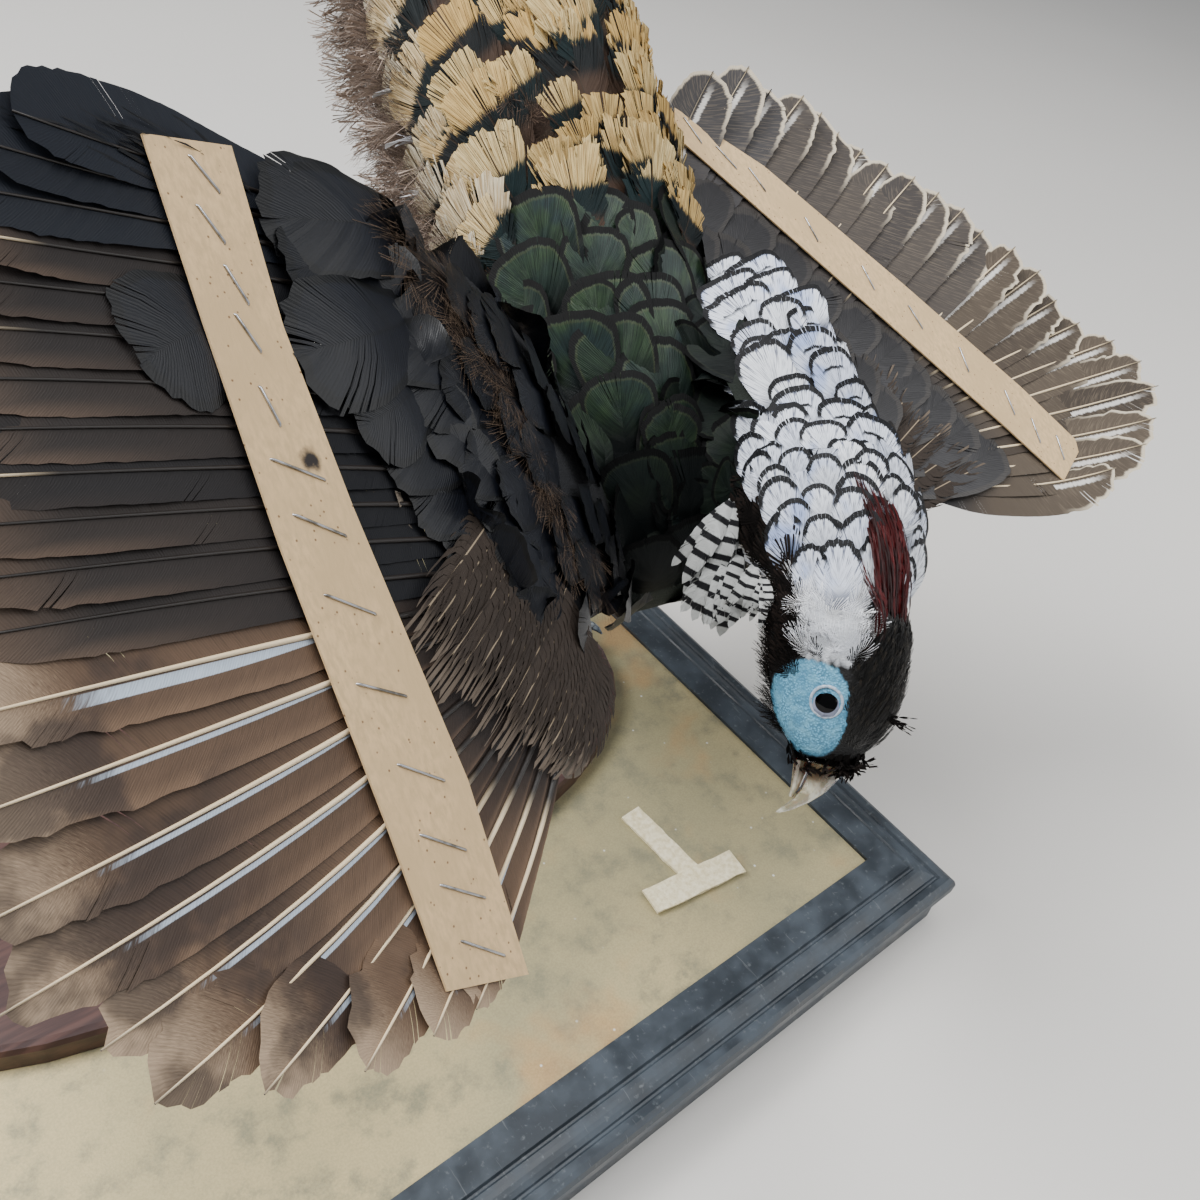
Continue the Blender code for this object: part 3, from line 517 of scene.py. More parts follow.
class Skin:
    """The finished skin as something to grow feathers on."""

    def __init__(self):
        self.mesh = bpy.data.objects["skin"].data
        corners = [v.co for v in self.mesh.vertices]
        self.tree = BVHTree.FromPolygons(corners, [p.vertices for p in self.mesh.polygons])
        self.labels = read(self.mesh.attributes["part"].data, "value", kind=np.int32)
        self.corners = read(self.mesh.uv_layers["OFBake"].data, "uv", 2)
        self.normals = read(self.mesh.vertices, "normal", 3)

    def unwrap(self, face):
        polygon = self.mesh.polygons[face]
        return self.corners[polygon.loop_start : polygon.loop_start + polygon.loop_total].mean(0)

    def patch_at(self, place):
        return self.unwrap(self.near(place)[2])

    def near(self, place):
        """The skin under a place: where it is, which way it faces, and its face."""
        spot, _, face, _ = self.tree.find_nearest(place)
        normal = self.normals[list(self.mesh.polygons[face].vertices)].mean(0)
        return np.array(spot), unit(normal), face

    def roots(self, part_names, spacing, seed, keep, flow, stretch):
        """Well-spread places on the named parts; stretch spaces them wider across the lie."""
        wanted = [FLESH.index(name) for name in part_names]
        faces = np.nonzero(np.isin(self.labels, wanted))[0]
        middles = read(self.mesh.polygons, "center", 3)[faces]
        areas = read(self.mesh.polygons, "area")[faces]
        random = np.random.default_rng(seed)
        tries = int(areas.sum() / (spacing * spacing * stretch) * 14) + 20
        picked = random.choice(len(faces), tries, p=areas / areas.sum())
        around = list(itertools.product((-1, 0, 1), repeat=3))
        found, cells = [], {}
        for k in picked:
            place = middles[k] + random.normal(0, 0.0004, 3)
            if keep and not keep(Vector(place)):
                continue
            x, y, z = np.floor(place / (spacing * stretch)).astype(int)
            spot, normal, face = self.near(place)
            way = np.array(flow(Vector(spot), Vector(normal)))
            others = [other for i, j, h in around for other in cells.get((x + i, y + j, z + h), ())]
            if any(self.apart(spot - other, way, stretch) < spacing for other in others):
                continue
            cells.setdefault((x, y, z), []).append(spot)
            found.append((spot, normal, face))
        return found

    def apart(self, gap, way, stretch):
        """The length of a gap between two roots, where what is across the lie counts for less."""
        ahead = float(gap @ way)
        aside = math.sqrt(max(0.0, float(gap @ gap) - ahead * ahead))
        return math.hypot(ahead, aside / stretch)

    def spine(self, spot, normal, way, length, sink, rise, steps=6, stiff=0.35):
        """Places along a feather that leaves its root and follows the skin at a growing height."""
        way = unit(way - normal * float(way @ normal))
        if stiff >= 1.0:
            share = np.linspace(0, 1, steps)[:, None]
            points = spot - normal * sink + way * (length * share) + normal * (rise * share**0.8)
            return points, np.tile(np.cross(way, normal), (steps, 1)), np.tile(normal, (steps, 1))
        points, ways, normals = [spot - normal * sink], [way], [normal]
        step = length / (steps - 1)
        for k in range(1, steps):
            guess = points[-1] + ways[-1] * step
            under, facing, _ = self.near(guess)
            facing = unit(normals[-1] * 0.5 + facing * 0.5)
            target = under + facing * (rise * (k / (steps - 1)) ** 0.8)
            turn = unit(unit(target - points[-1]) * (1 - stiff) + ways[-1] * stiff)
            points.append(points[-1] + turn * step)
            ways.append(turn)
            normals.append(unit(facing - turn * float(facing @ turn)))
        sides = [np.cross(w, n) for w, n in zip(ways, normals)]
        return np.array(points), unit(np.array(sides)), np.array(normals)


SKINS = {}


def skin():
    if "skin" not in SKINS:
        SKINS["skin"] = Skin()
    return SKINS["skin"]


def trunk_place(place):
    """Along the trunk from the mantle's middle, and the turn in degrees from its back towards its right."""
    away = Vector(place) - MANTLE
    return away.dot(REARWARD), math.degrees(math.atan2(away.dot(BIRD_RIGHT), away.dot(DORSAL)))


def head_place(place):
    away = Vector(place) - HEAD_MIDDLE
    return away.dot(HEAD_FORWARD), away.dot(HEAD_RIGHT), away.dot(HEAD_UP)


@functools.cache
def guide(name, count):
    """A smooth line down the neck or the cape."""
    return smooth_path({"neck": NECK_PATH, "cape": CAPE_PATH}[name], count)


def nearest_on(name, place, count):
    """A guide line, which of its points is nearest a place, and the way from that point to the place."""
    points = guide(name, count)
    away = np.array(place) - points
    k = int(np.argmin(np.linalg.norm(away, axis=1)))
    return points, k, away[k]


def along_path(name, place):
    """The direction of a guide line where it passes nearest a place."""
    points, k, _ = nearest_on(name, place, 24)
    low, high = max(k - 1, 0), min(k + 1, len(points) - 1)
    return unit(points[high] - points[low])


def trunk_flow(place, normal):
    """The lie of the coat on trunk and rump: tailward, fanning out over the right flank."""
    along, turn = trunk_place(place)
    radians = math.radians(turn)
    around = np.array(BIRD_RIGHT * math.cos(radians) - DORSAL * math.sin(radians))
    fan = np.interp(along, (0.035, 0.075, 0.14, 0.2), (0.0, 0.8, 0.8, 0.25))
    side = np.interp(turn, (-90, -10, 15, 60, 110, 150), (-0.15, 0.0, 0.35, 1.15, 0.7, 0.0))
    return unit(np.array(REARWARD) + around * float(fan * side))


def neck_flow(place, normal):
    return -along_path("neck", place)


def cape_flow(place, normal):
    return unit(along_path("cape", place) - np.array(HEAD_RIGHT) * 0.1)


def head_flow(place, normal):
    down = -0.55 if head_place(place)[2] < 0 else 0.25
    return unit(np.array(-HEAD_FORWARD + HEAD_UP * down))


def thigh_flow(place, normal):
    return np.array((0.0, -0.15, -1.0))


def wing_axes(hand):
    """Wrist, rearward, outward and upward directions of a wing."""
    wrist, rear, out = (Vector(x) for x in WING_PLANES[hand])
    rear.normalize()
    out = (out - rear * out.dot(rear)).normalized()
    up = rear.cross(out) if hand == "R" else out.cross(rear)
    return wrist, rear, out, up


def arch(outward):
    """Height of the wing's surface over its flat middle, where the clamp holds it."""
    if outward < WING_FLAT_FROM:
        return -WING_ARCH * (WING_FLAT_FROM - outward) ** 2
    if outward > WING_FLAT_TO:
        return -WING_DROOP * (outward - WING_FLAT_TO) ** 2
    return 0.0


def wing_point(hand, rearward, outward, height=0.0):
    wrist, rear, out, up = wing_axes(hand)
    return np.array(wrist + rear * rearward + out * outward + up * (height + arch(outward)))


# ---------------------------------------------------------------- skin
# The remesh's voxel, the coat's depth on the wings' arms, and the turn and place where the belly starts.
SKIN_VOXEL = 0.0021
ARM_DEPTH = 0.0012
BELLY_TURN, BELLY_FROM = 112, -0.025


def make_skin(settings):
    """One closed skin over all the nodes of flesh, sunk by the depth of the coat."""
    copies, labels = [], []
    points, faces = [], []
    for k, name in enumerate(FLESH):
        mesh = frame["nodes"][name].data
        start = len(points)
        points += [v.co.copy() for v in mesh.vertices]
        faces += [[start + i for i in p.vertices] for p in mesh.polygons]
        labels += [k] * len(mesh.polygons)
        copies.append(link(mesh.copy(), f"copy_{name}"))
        copies[-1].data.materials.clear()
    made = join(copies, "skin")
    made.data.name = "skin"
    edit(made, bpy.ops.mesh.remove_doubles, threshold=1e-6)
    nodes_tree = BVHTree.FromPolygons(points, faces)
    remesh = made.modifiers.new("one skin", "REMESH")
    remesh.mode = "VOXEL"
    remesh.voxel_size = SKIN_VOXEL
    smooth = made.modifiers.new("seams", "SMOOTH")
    smooth.factor = 0.5
    smooth.iterations = 5
    apply_all(made)
    part = np.array([labels[nodes_tree.find_nearest(v.co)[2]] for v in made.data.vertices], np.int32)
    depths = {"head": settings.head_depth, "wing_R_arm": ARM_DEPTH, "wing_L_arm": ARM_DEPTH}
    depth = np.array([depths.get(FLESH[k], settings.trunk_depth) for k in part], np.float32)
    group = made.vertex_groups.new(name="coat depth")
    edges = read(made.data.edges, "vertices", 2, np.int32)
    for _ in range(6):
        total, times = depth.copy(), np.ones(len(depth))
        np.add.at(total, edges[:, 0], depth[edges[:, 1]])
        np.add.at(total, edges[:, 1], depth[edges[:, 0]])
        np.add.at(times, edges.ravel(), 1)
        depth = total / times
    for k, value in enumerate(depth):
        group.add([k], min(1.0, float(value) / settings.trunk_depth), "REPLACE")
    sink = made.modifiers.new("under the coat", "DISPLACE")
    sink.strength = -settings.trunk_depth
    sink.mid_level = 0.0
    sink.vertex_group = "coat depth"
    even = made.modifiers.new("even", "SMOOTH")
    even.factor = 0.4
    even.iterations = 3
    apply_all(made)
    made.vertex_groups.clear()
    layer = made.data.attributes.new("part", "INT", "FACE")
    layer.data.foreach_set("value", np.array([part[p.vertices[0]] for p in made.data.polygons], np.int32))
    edit(made, bpy.ops.uv.smart_project, angle_limit=math.radians(66), island_margin=0.002)
    made.data.uv_layers.active.name = "OFBake"
    made.data.shade_smooth()
    return made


def mark_skin(made, colours):
    """The coat's markings on the skin, point by point, from the same rules as the coat."""
    count = len(made.data.vertices)
    marks = np.ones((count, 4), np.float32)
    part = np.zeros(count, np.int32)
    for polygon in made.data.polygons:
        for vertex in polygon.vertices:
            part[vertex] = made.data.attributes["part"].data[polygon.index].value
    for k, vertex in enumerate(made.data.vertices):
        marks[k, :3] = under_colour(FLESH[part[k]], vertex.co, colours)
    layer = made.data.color_attributes.new("marking", "FLOAT_COLOR", "POINT")
    layer.data.foreach_set("color", marks.ravel())


def under_colour(part, place, colours):
    """What lies under the coat at a place: down of the colour of the feathers over it."""
    along, turn = trunk_place(place)
    if part == "head":
        white = on_white_cheek(place) and head_place(place)[1] > 0
        return shade(colours.ruff, 0.6) if white else list(colours.black)
    if part in ("neck", "cape"):
        return shade(colours.ruff, 0.35) if past_cape(place) < -0.007 else shade(colours.mantle, 0.25)
    if part in ("wing_R_arm", "wing_L_arm"):
        return shade(colours.covert, 0.5)
    if part in ("thigh_R", "thigh_L") or is_belly(along, turn):
        return shade(colours.belly, 0.45)
    if is_rump(along, turn):
        return list(linear(70, 56, 42))
    return shade(colours.mantle, 0.25)


def is_rump(along, turn):
    """The yellow-tipped rump starts further forward on the bird's right."""
    return along > np.interp(turn, (-120, -30, 0, 45, 90), (0.040, 0.032, 0.044, 0.038, 0.036))


def is_belly(along, turn):
    return abs(turn) > BELLY_TURN and along > BELLY_FROM


def trunk_zone(place):
    """The turn of a place on the trunk, and whether it is on the rump, on the belly or in front of both."""
    along, turn = trunk_place(place)
    rump, belly = is_rump(along, turn), is_belly(along, turn)
    return turn, rump, belly, not rump and not belly


def skin_paint(colours):
    """Bare blue face in front, and elsewhere the colours of the coat above it."""
    paint = Paint("skin", 0.75)
    marking = paint.node("VertexColor", {}, "Color", layer_name="marking")
    ahead = paint.toward(HEAD_MIDDLE, HEAD_FORWARD)
    above = paint.toward(HEAD_MIDDLE, HEAD_UP)
    x = (ahead - FACE_AHEAD) / FACE_LONG
    y = (above + FACE_BELOW) / FACE_HIGH
    edge = abs(x) ** FACE_ROUND + abs(y) ** FACE_ROUND + (paint.noise(520, 3) - 0.5) * 0.5
    bare = edge.between(1.12, 0.92)
    flecks = paint.cells(1500)
    bright = [min(1, c * 1.35 + 0.03) for c in colours.face]
    blotch = paint.mix(flecks.between(0.15, 0.65), bright, shade(colours.face, 0.62))
    blotch = paint.mix(paint.noise(260, 4).between(0.42, 0.66), blotch, linear(104, 164, 190))
    blotch = paint.mix(paint.noise(95, 3).between(0.42, 0.62), blotch, linear(68, 126, 156))
    fine = paint.noise(700, 4, stretch=(1, 0.5, 0.5)).between(0.3, 0.7)
    down = paint.mix(fine, marking, [0.9] * 3, "MULTIPLY")
    paint.colour(paint.mix(bare, down, blotch))
    paint.rough(paint.mix(bare, [0.85] * 3, [0.5] * 3))
    paint.bump(paint.noise(900, 3) - flecks * 0.9, 0.55, 0.0005)
    return paint


# ---------------------------------------------------------------- feather materials
def barb_lines(paint, spacing):
    """Fine lines along the barbs, from 0 in a gap to 1 on a barb, spacing in millimetres."""
    row = paint.map_parts("Barbs")[1]
    return paint.math("SINE", row * (2 * math.pi / spacing)) * 0.14 + paint.grain(3.0, 2.0)


def off_shaft(paint):
    """Distance from the shaft across a vane, 0.5 at its edges."""
    return abs(paint.map_parts("Vane")[0] - 0.5)


def finish_vane(paint, colour, spacing, depth=0.3, dark=0.7, shaft=None, shaft_half=0.03, gloss=0.25):
    """Barb shading, a shaft and bump over a vane's colour."""
    lines = barb_lines(paint, spacing)
    shaded = paint.mix(lines.between(0.2, 0.75), paint.mix(1.0, colour, [dark] * 3, "MULTIPLY"), colour)
    if shaft is not None:
        shaded = paint.mix(off_shaft(paint).between(shaft_half, shaft_half * 0.45), shaded, shaft)
    paint.set(Specular_IOR_Level=gloss).colour(shaded).bump(lines, depth, 0.0003)
    paint.material.use_backface_culling = False
    return paint


def jittered(paint, value, amount, scale=9.0):
    """A value pushed about by fine noise across the barbs, so that a marking has a ragged edge."""
    return value + (paint.grain(scale, 3.0) - 0.5) * amount


def mantle_paint(colours, name="mantle_vane"):
    """Metallic green scale with a velvet border and a faint gold line inside it, darker towards its
    overlapped base as painted shade.
    """
    paint = Paint(name, 0.34)
    rim = jittered(paint, paint.own("rim"), 1.5, 2.4)
    _, along = paint.map_parts("Vane")
    tint, zone = paint.own("tint"), paint.own("zone")
    green = paint.mix(tint, colours.mantle, linear(37, 52, 54))
    green = paint.mix(paint.noise(90, 3).between(0.38, 0.7), green, linear(56, 76, 52))
    streaks = paint.grain(1.6, 3.0)
    green = paint.mix(streaks.between(0.42, 0.66, 0.0, 0.65), green, linear(17, 26, 24))
    green = paint.mix(zone, green, linear(16, 20, 20))
    # Painted shade: darker towards the base, where the next scales overlap it.
    green = paint.mix(along.between(0.66, 0.25), green, linear(13, 18, 18))
    gold = rim.between(1.8, 2.0) * rim.between(2.7, 2.3)
    gold = gold * (0.32 - zone * 0.3)
    tinted = paint.mix(gold, green, linear(88, 92, 62))
    border = rim.between(2.0, 1.7) * along.between(0.34, 0.48)
    tinted = paint.mix(border, tinted, linear(5, 6, 6))
    finish_vane(paint, tinted, 0.55, 0.4, 0.6, gloss=0.5)
    paint.set(Metallic=zone.between(0.3, 0.8, 0.35, 0.0))
    paint.set(Specular_IOR_Level=zone.between(0.3, 0.8, 0.5, 0.12))
    paint.rough(paint.mix(border, paint.mix(zone, [0.36] * 3, [0.62] * 3), [0.8] * 3))
    return paint


def ruff_paint(colours, name="ruff_vane", inner_from=5.2):
    """White scale with a ragged black edge at its tip and, on some, a second bar inside it; its overlapped
    base is greyer with painted shadow.
    """
    paint = Paint(name, 0.6)
    rim = jittered(paint, paint.own("rim"), 1.9, 2.2)
    _, along = paint.map_parts("Vane")
    tint = paint.own("tint")
    white = paint.mix(tint, colours.ruff, linear(216, 224, 242))
    blush = paint.noise(60, 2).between(0.54, 0.68)
    white = paint.mix(blush, white, linear(170, 188, 230))
    # Painted shadow: greyer towards the base, where the scale above overlaps it.
    white = paint.mix(along.between(0.45, 0.15), white, linear(96, 100, 112))
    hairs = paint.grain(1.9, 2.0)
    hairs = hairs.between(0.52, 0.60) * rim.between(9.0, 2.0, 0.45, 1.0)
    white = paint.mix(hairs, white, linear(84, 90, 112))
    edge = rim.between(1.95, 1.55) * along.between(0.60, 0.72)
    inner = rim.between(inner_from, inner_from + 0.3) * along.between(0.62, 0.70)
    inner = inner * rim.between(inner_from + 1.4, inner_from + 1.0)
    inner = inner * tint.between(0.40, 0.42)
    black = paint.math("MAXIMUM", edge, inner)
    finish_vane(paint, paint.mix(black, white, linear(8, 9, 14)), 0.45, 0.45, 0.70)
    return paint


def barred_paint(name, pale, dark_bar, bars):
    """Pale vane crossed by a few dark bars."""
    paint = Paint(name, 0.7)
    _, along = paint.map_parts("Vane")
    wave = paint.math("SINE", jittered(paint, along, 0.05) * (2 * math.pi * bars))
    tone = paint.mix(wave.between(0.35, 0.55), pale, dark_bar)
    return finish_vane(paint, tone, 0.5, 0.35, 0.70)


def rump_paint(colours):
    """Brown base, blue-green black band and a broad buff-yellow tip."""
    paint = Paint("rump_vane", 0.66)
    _, along = paint.map_parts("Vane")
    tint, zone = paint.own("tint"), paint.own("zone")
    jitter = (tint - 0.5) * 0.12
    shifted = jittered(paint, along + jitter, 0.22, 3.0)
    band = paint.mix(tint, linear(14, 18, 20), linear(20, 40, 42))
    base = paint.mix(shifted.between(0.30, 0.42), linear(74, 56, 44), band)
    yellow = paint.mix(tint, colours.rump, linear(232, 208, 150))
    yellow = paint.mix(zone, yellow, linear(236, 228, 204))
    strips = paint.grain(2.4, 2.0)
    yellow = paint.mix(strips.between(0.42, 0.60, 0.0, 0.7), yellow, linear(164, 128, 74))
    tip = shifted.between(0.60, 0.65)
    finish_vane(paint, paint.mix(tip, base, yellow), 0.6, 0.5, 0.62, linear(62, 50, 40), 0.014)
    return paint


def plain_paint(name, tone, tip, roughness=0.7, tip_from=0.75, shaft=None, metallic=0.0, edge=None, dark=0.7,
                gloss=0.25):
    """A vane of one tone that changes towards its tip, with an optional rim colour."""
    paint = Paint(name, roughness)
    _, along = paint.map_parts("Vane")
    tint = paint.own("tint")
    colour = paint.mix(tint, tone, shade(tone, 1.3))
    tipward = jittered(paint, along, 0.12).between(tip_from - 0.08, tip_from + 0.08)
    colour = paint.mix(tipward, colour, tip)
    if edge is not None:
        colour = paint.mix(jittered(paint, paint.own("rim"), 0.8).between(2.0, 1.4), colour, edge)
    finish_vane(paint, colour, 0.55, 0.3, dark, shaft, 0.018, gloss)
    paint.set(Metallic=metallic)
    return paint


# ---------------------------------------------------------------- coat
# How deep a feather's root sits in the skin.
ROOT_SINK = 0.0006


def grow(plumage, parts, spacing, length, width, rise, flow, seed, keep=None, stretch=1.2, zone=None,
         stiff=0.35, wild=0.10, steps=6, vary=0.1, lean=None, clear=None):
    """Sets feathers over parts of the skin, tips away from the bill and off the places that clear tells."""
    coat = skin()
    random = np.random.default_rng(seed + 1)
    for spot, normal, face in coat.roots(parts, spacing, seed, keep, flow, stretch):
        if lean:
            normal = unit(normal * (1 - lean[1]) + np.array(lean[0]) * lean[1])
        way = np.array(flow(Vector(spot), Vector(normal)))
        aside = np.cross(normal, way)
        way = unit(way + aside * random.normal(0, wild))
        size = random.uniform(1 - vary, 1 + vary)
        high = rise * random.uniform(0.75, 1.25)
        spine, side, up = coat.spine(spot, normal, way, length * size, ROOT_SINK, high, steps, stiff)
        if clear and clear(Vector(spine[-1])):
            continue
        level = zone(Vector(spot)) if zone else 0.0
        plumage.add(spine, side, up, width * size / 2, coat.unwrap(face), None, level)


def coat_piece(name, plumage, paint, **shape):
    made = link(plumage.mesh(name, **shape), name)
    dress(made, paint)
    return settle(made)


class PheasantOperator:
    """What all the operators share: each makes its pieces from the scene's settings."""

    bl_options = {"REGISTER", "UNDO"}

    def execute(self, context):
        scene = context.scene
        self.make(scene.pheasant_coat, scene.pheasant_colours, scene.pheasant_mount)
        return {"FINISHED"}


class PHEASANT_OT_skin(PheasantOperator, bpy.types.Operator):
    """One skin under the whole coat, with the bare blue face"""

    bl_idname = "pheasant.skin"
    bl_label = "Skin"

    def make(self, coat, colours, mount):
        made = make_skin(coat)
        mark_skin(made, colours)
        dress(made, skin_paint(colours))
        settle(made, FLESH)


# ---------------------------------------------------------------- trunk, rump and belly
def neck_side(place):
    """How far a place lies towards the throat: 1 under the neck, -1 on the nape."""
    _, k, away = nearest_on("neck", place, 24)
    up = unit(np.array(DORSAL.lerp(HEAD_UP, min(1.0, k / 20))))
    return -float(unit(away) @ up)


def by_cape(place, beyond, reach):
    """Beside the cape: short of its edge by so much, and no further than reach from its middle."""
    return past_cape(place) < beyond and np.linalg.norm(nearest_on("cape", place, 12)[2]) < reach


def over_cape(place):
    """In the air over the cape, where a mantle feather's tip would hide it."""
    return by_cape(place, -0.005, 0.045)


def on_back(place):
    """The back, short of what lies right under the cape."""
    turn, _, _, front = trunk_zone(place)
    return front and abs(turn) < 82 and not by_cape(place, -0.002, 0.026)


def on_breast(place):
    turn, _, _, front = trunk_zone(place)
    return front and abs(turn) >= 78


def on_rump(place):
    turn, rump, _, _ = trunk_zone(place)
    return rump and -112 < turn < 88


def on_flank(place):
    turn, rump, _, _ = trunk_zone(place)
    return rump and 84 <= turn < 118


def on_belly(place):
    return trunk_zone(place)[2]


def on_brown_fluff(place):
    """Ruffled places: one on the rump, one where the right wing's scapulars end."""
    along, turn = trunk_place(place)
    middle = math.hypot((along - 0.083) / 0.012, (turn - 35) / 9) < 1
    return middle or math.hypot((along - 0.045) / 0.020, (turn - 82) / 16) < 1


def off_axis(place):
    """Distance from the trunk's axis."""
    away = Vector(place) - MANTLE
    return (away - REARWARD * away.dot(REARWARD)).length


def on_shoulder(place):
    """The foot of the neck, which wears the dark mantle's feathers."""
    beyond = -0.006 if skin_part(place) == "cape" else -0.008
    return past_cape(place) > beyond and off_axis(place) < 0.070 and head_place(place)[0] < -0.040


def mantle_shade(place):
    """0 where the back is green, 1 where it is almost black, towards the shoulders."""
    along, turn = trunk_place(place)
    low = np.interp(along, (-0.058, -0.030), (1.0, 0.0))
    return float(max(low, np.interp(turn, (-45, -18), (0.85, 0.0))))


class PHEASANT_OT_trunk_coat(PheasantOperator, bpy.types.Operator):
    """Mantle, breast, rump, flank and belly feathers"""

    bl_idname = "pheasant.trunk_coat"
    bl_label = "Trunk coat"

    def make(self, coat, colours, mount):
        both = ("trunk", "rump")
        width = coat.mantle_scale
        mantle = Plumage("broad", 20, 3, coat.seed, fray=0.05, split=0.5, rare=0.12, shaft_end=0.62)
        grow(mantle, both, width * 0.40, width * 1.25, width, 0.0045, trunk_flow, 11, on_back, 1.35,
             mantle_shade, vary=0.24, wild=0.2, clear=over_cape)
        grow(mantle, ("neck", "cape"), width * 0.32, width, width * 0.8, 0.0040, neck_flow, 16, on_shoulder,
             1.4, lambda p: 0.85, vary=0.2, clear=over_cape)
        coat_piece("coat_mantle", mantle, mantle_paint(colours), camber=4.0, ruffle=0.0004)
        breast = Plumage("scale", 10, 2, coat.seed + 1, fray=0.07, split=0.3, rare=0.3)
        grow(breast, both, width * 0.40, width * 1.1, width * 0.85, 0.0045, trunk_flow, 12, on_breast, 1.4,
             lambda p: 0.75)
        grow(breast, ("neck",), width * 0.34, width, width * 0.8, 0.0045, neck_flow, 19, on_neck_foot, 1.3,
             lambda p: 0.75)
        coat_piece("coat_breast", breast, mantle_paint(colours, "breast_vane"), camber=6.0)
        width = coat.rump_scale
        rump = Plumage("square", 30, 2, coat.seed + 2, fray=0.30, split=0.6, rare=0.6, loose=0.06, lag=1.0,
                       shaft_end=0.46, comb=0.2)
        pale = lambda p: float(np.interp(trunk_place(p)[1], (40, 75), (0.0, 1.0)))
        grow(rump, both, width * 0.38, width * 1.5, width, 0.0075, trunk_flow, 13, on_rump, 1.25, pale,
             wild=0.36, vary=0.28)
        coat_piece("coat_rump", rump, rump_paint(colours), camber=5.0, ruffle=0.0022)
        tufts = Plumage("leaf", 24, 2, coat.seed + 5, **DOWN)
        grow(tufts, both, 0.0042, 0.021, 0.014, 0.0100, trunk_flow, 17, on_brown_fluff, 1.2, wild=0.7)
        brown = plain_paint("rump_down", linear(58, 43, 36), linear(104, 84, 70), 0.85, 0.6)
        coat_piece("coat_rump_down", tufts, brown, camber=0.0, ruffle=0.005)
        down = Plumage("leaf", 30, 2, coat.seed + 3, **dict(DOWN, loose=0.70))
        grow(down, both, 0.0030, 0.036, 0.020, 0.0260, trunk_flow, 14, on_flank, 1.2, wild=0.8, stiff=0.5,
             vary=0.3)
        grey = plain_paint("flank_down", linear(112, 96, 85), linear(178, 160, 147), 0.9, 0.5)
        coat_piece("coat_flank", down, grey, camber=0.0, ruffle=0.012)
        wisps = Plumage("lance", 6, 1, coat.seed + 6, fray=0.6, split=0.9, loose=0.6, shaft_end=0.4)
        grow(wisps, both, 0.0150, 0.026, 0.006, 0.0210, trunk_flow, 18, on_flank, 1.2, wild=0.8, stiff=0.5)
        pale_down = plain_paint("flank_wisp", linear(226, 226, 232), linear(244, 244, 248), 0.6, 0.7)
        coat_piece("coat_flank_wisps", wisps, pale_down, camber=0.0, ruffle=0.006)
        belly = Plumage("broad", 10, 2, coat.seed + 4, fray=0.4, split=0.8, loose=0.2)
        grow(belly, both, 0.0095, 0.030, 0.017, 0.006, trunk_flow, 15, on_belly, 1.3, wild=0.25)
        white = plain_paint("belly_vane", colours.belly, linear(240, 238, 232), 0.8, 0.7, None, dark=0.8)
        coat_piece("coat_belly", belly, white, camber=4.0, ruffle=0.003)


# ---------------------------------------------------------------- neck, cape and head
CAPE_SIDE = Vector((-0.768, 0.619, -0.166))
CAPE_UP = Vector((-0.528, -0.127, 0.840))
CAPE_EDGE = (0.027, 0.017, 0.014, 0.010, 0.007, 0.004)


def past_cape(place):
    """How far a place lies beyond the cape's straight edge, over the right shoulder."""
    _, k, away = nearest_on("cape", place, 31)
    return float(away @ np.array(CAPE_SIDE)) - np.interp(k / 10, (0, 0.76, 1.33, 2.05, 2.7, 3), CAPE_EDGE)


def throat_side(place):
    """Where the black throat begins round the neck: higher up on the bird's left, behind the head."""
    far = past_cape(place) < -0.045 and head_place(place)[0] < -0.035
    return 0.20 if far else 0.70


def on_ruff(place):
    """The cape and the sides of the neck, from the nape to where the throat begins."""
    ahead = head_place(place)[0]
    edge = np.interp(ahead, (-0.115, -0.060, -0.045), (-0.0075, -0.0045, 0.0))
    return ahead < -0.0205 and past_cape(place) < edge and neck_side(place) < throat_side(place)


def on_ruff_from(low, high):
    """A test for the stretch of the ruff between two places behind the head's middle."""
    return lambda place: on_ruff(place) and low < head_place(place)[0] <= high


def on_throat(place):
    if head_place(place)[0] > -0.024 or on_shoulder(place):
        return False
    return neck_side(place) >= throat_side(place)


def on_neck_foot(place):
    """What is left of the neck between cape, shoulder and throat: it wears breast feathers."""
    taken = on_ruff(place) or on_shoulder(place) or on_throat(place)
    return (Vector(place) - HEAD_MIDDLE).length > 0.045 and not taken


def bare_face(place, grow_by=1.0):
    ahead, aside, above = head_place(place)
    x, y = abs(ahead - FACE_AHEAD) / FACE_LONG, abs(above + FACE_BELOW) / FACE_HIGH
    return x**FACE_ROUND + y**FACE_ROUND < grow_by and abs(aside) > 0.004


def on_white_cheek(place):
    ahead, _, above = head_place(place)
    low = np.interp(ahead, (-0.030, -0.018), (-0.0150, -0.0080))
    return -0.0300 < ahead < -0.0110 and low < above < 0.0060 and not bare_face(place, 1.0)


def on_blown_cheek(place):
    """White feathers that are ruffled forward to the rim of the bare face."""
    ahead, _, above = head_place(place)
    return -0.0225 < ahead < -0.0160 and -0.0075 < above < 0.0005


def on_crown(place):
    ahead, _, above = head_place(place)
    return above >= 0.0045 and not bare_face(place, 1.0) and not on_white_cheek(place) and ahead < 0.0140


def on_cheek(place):
    ahead, _, above = head_place(place)
    clear = not bare_face(place, 1.0 if above < -0.004 else 1.5) or (ahead < -0.0040 and above < -0.0085)
    return above < 0.0045 and clear and not on_white_cheek(place) and ahead < 0.0130


def on_lores(place):
    ahead, _, above = head_place(place)
    return ahead > 0.0110 and above > -0.013 and not bare_face(place, 1.25)


def lores_flow(place, normal):
    return unit(np.array(HEAD_FORWARD) * 0.9 + np.array(normal) * 0.35 + np.array(HEAD_UP) * 0.1)


def cheek_flow(place, normal):
    return unit(np.array(HEAD_FORWARD) - np.array(HEAD_UP) * 0.45)


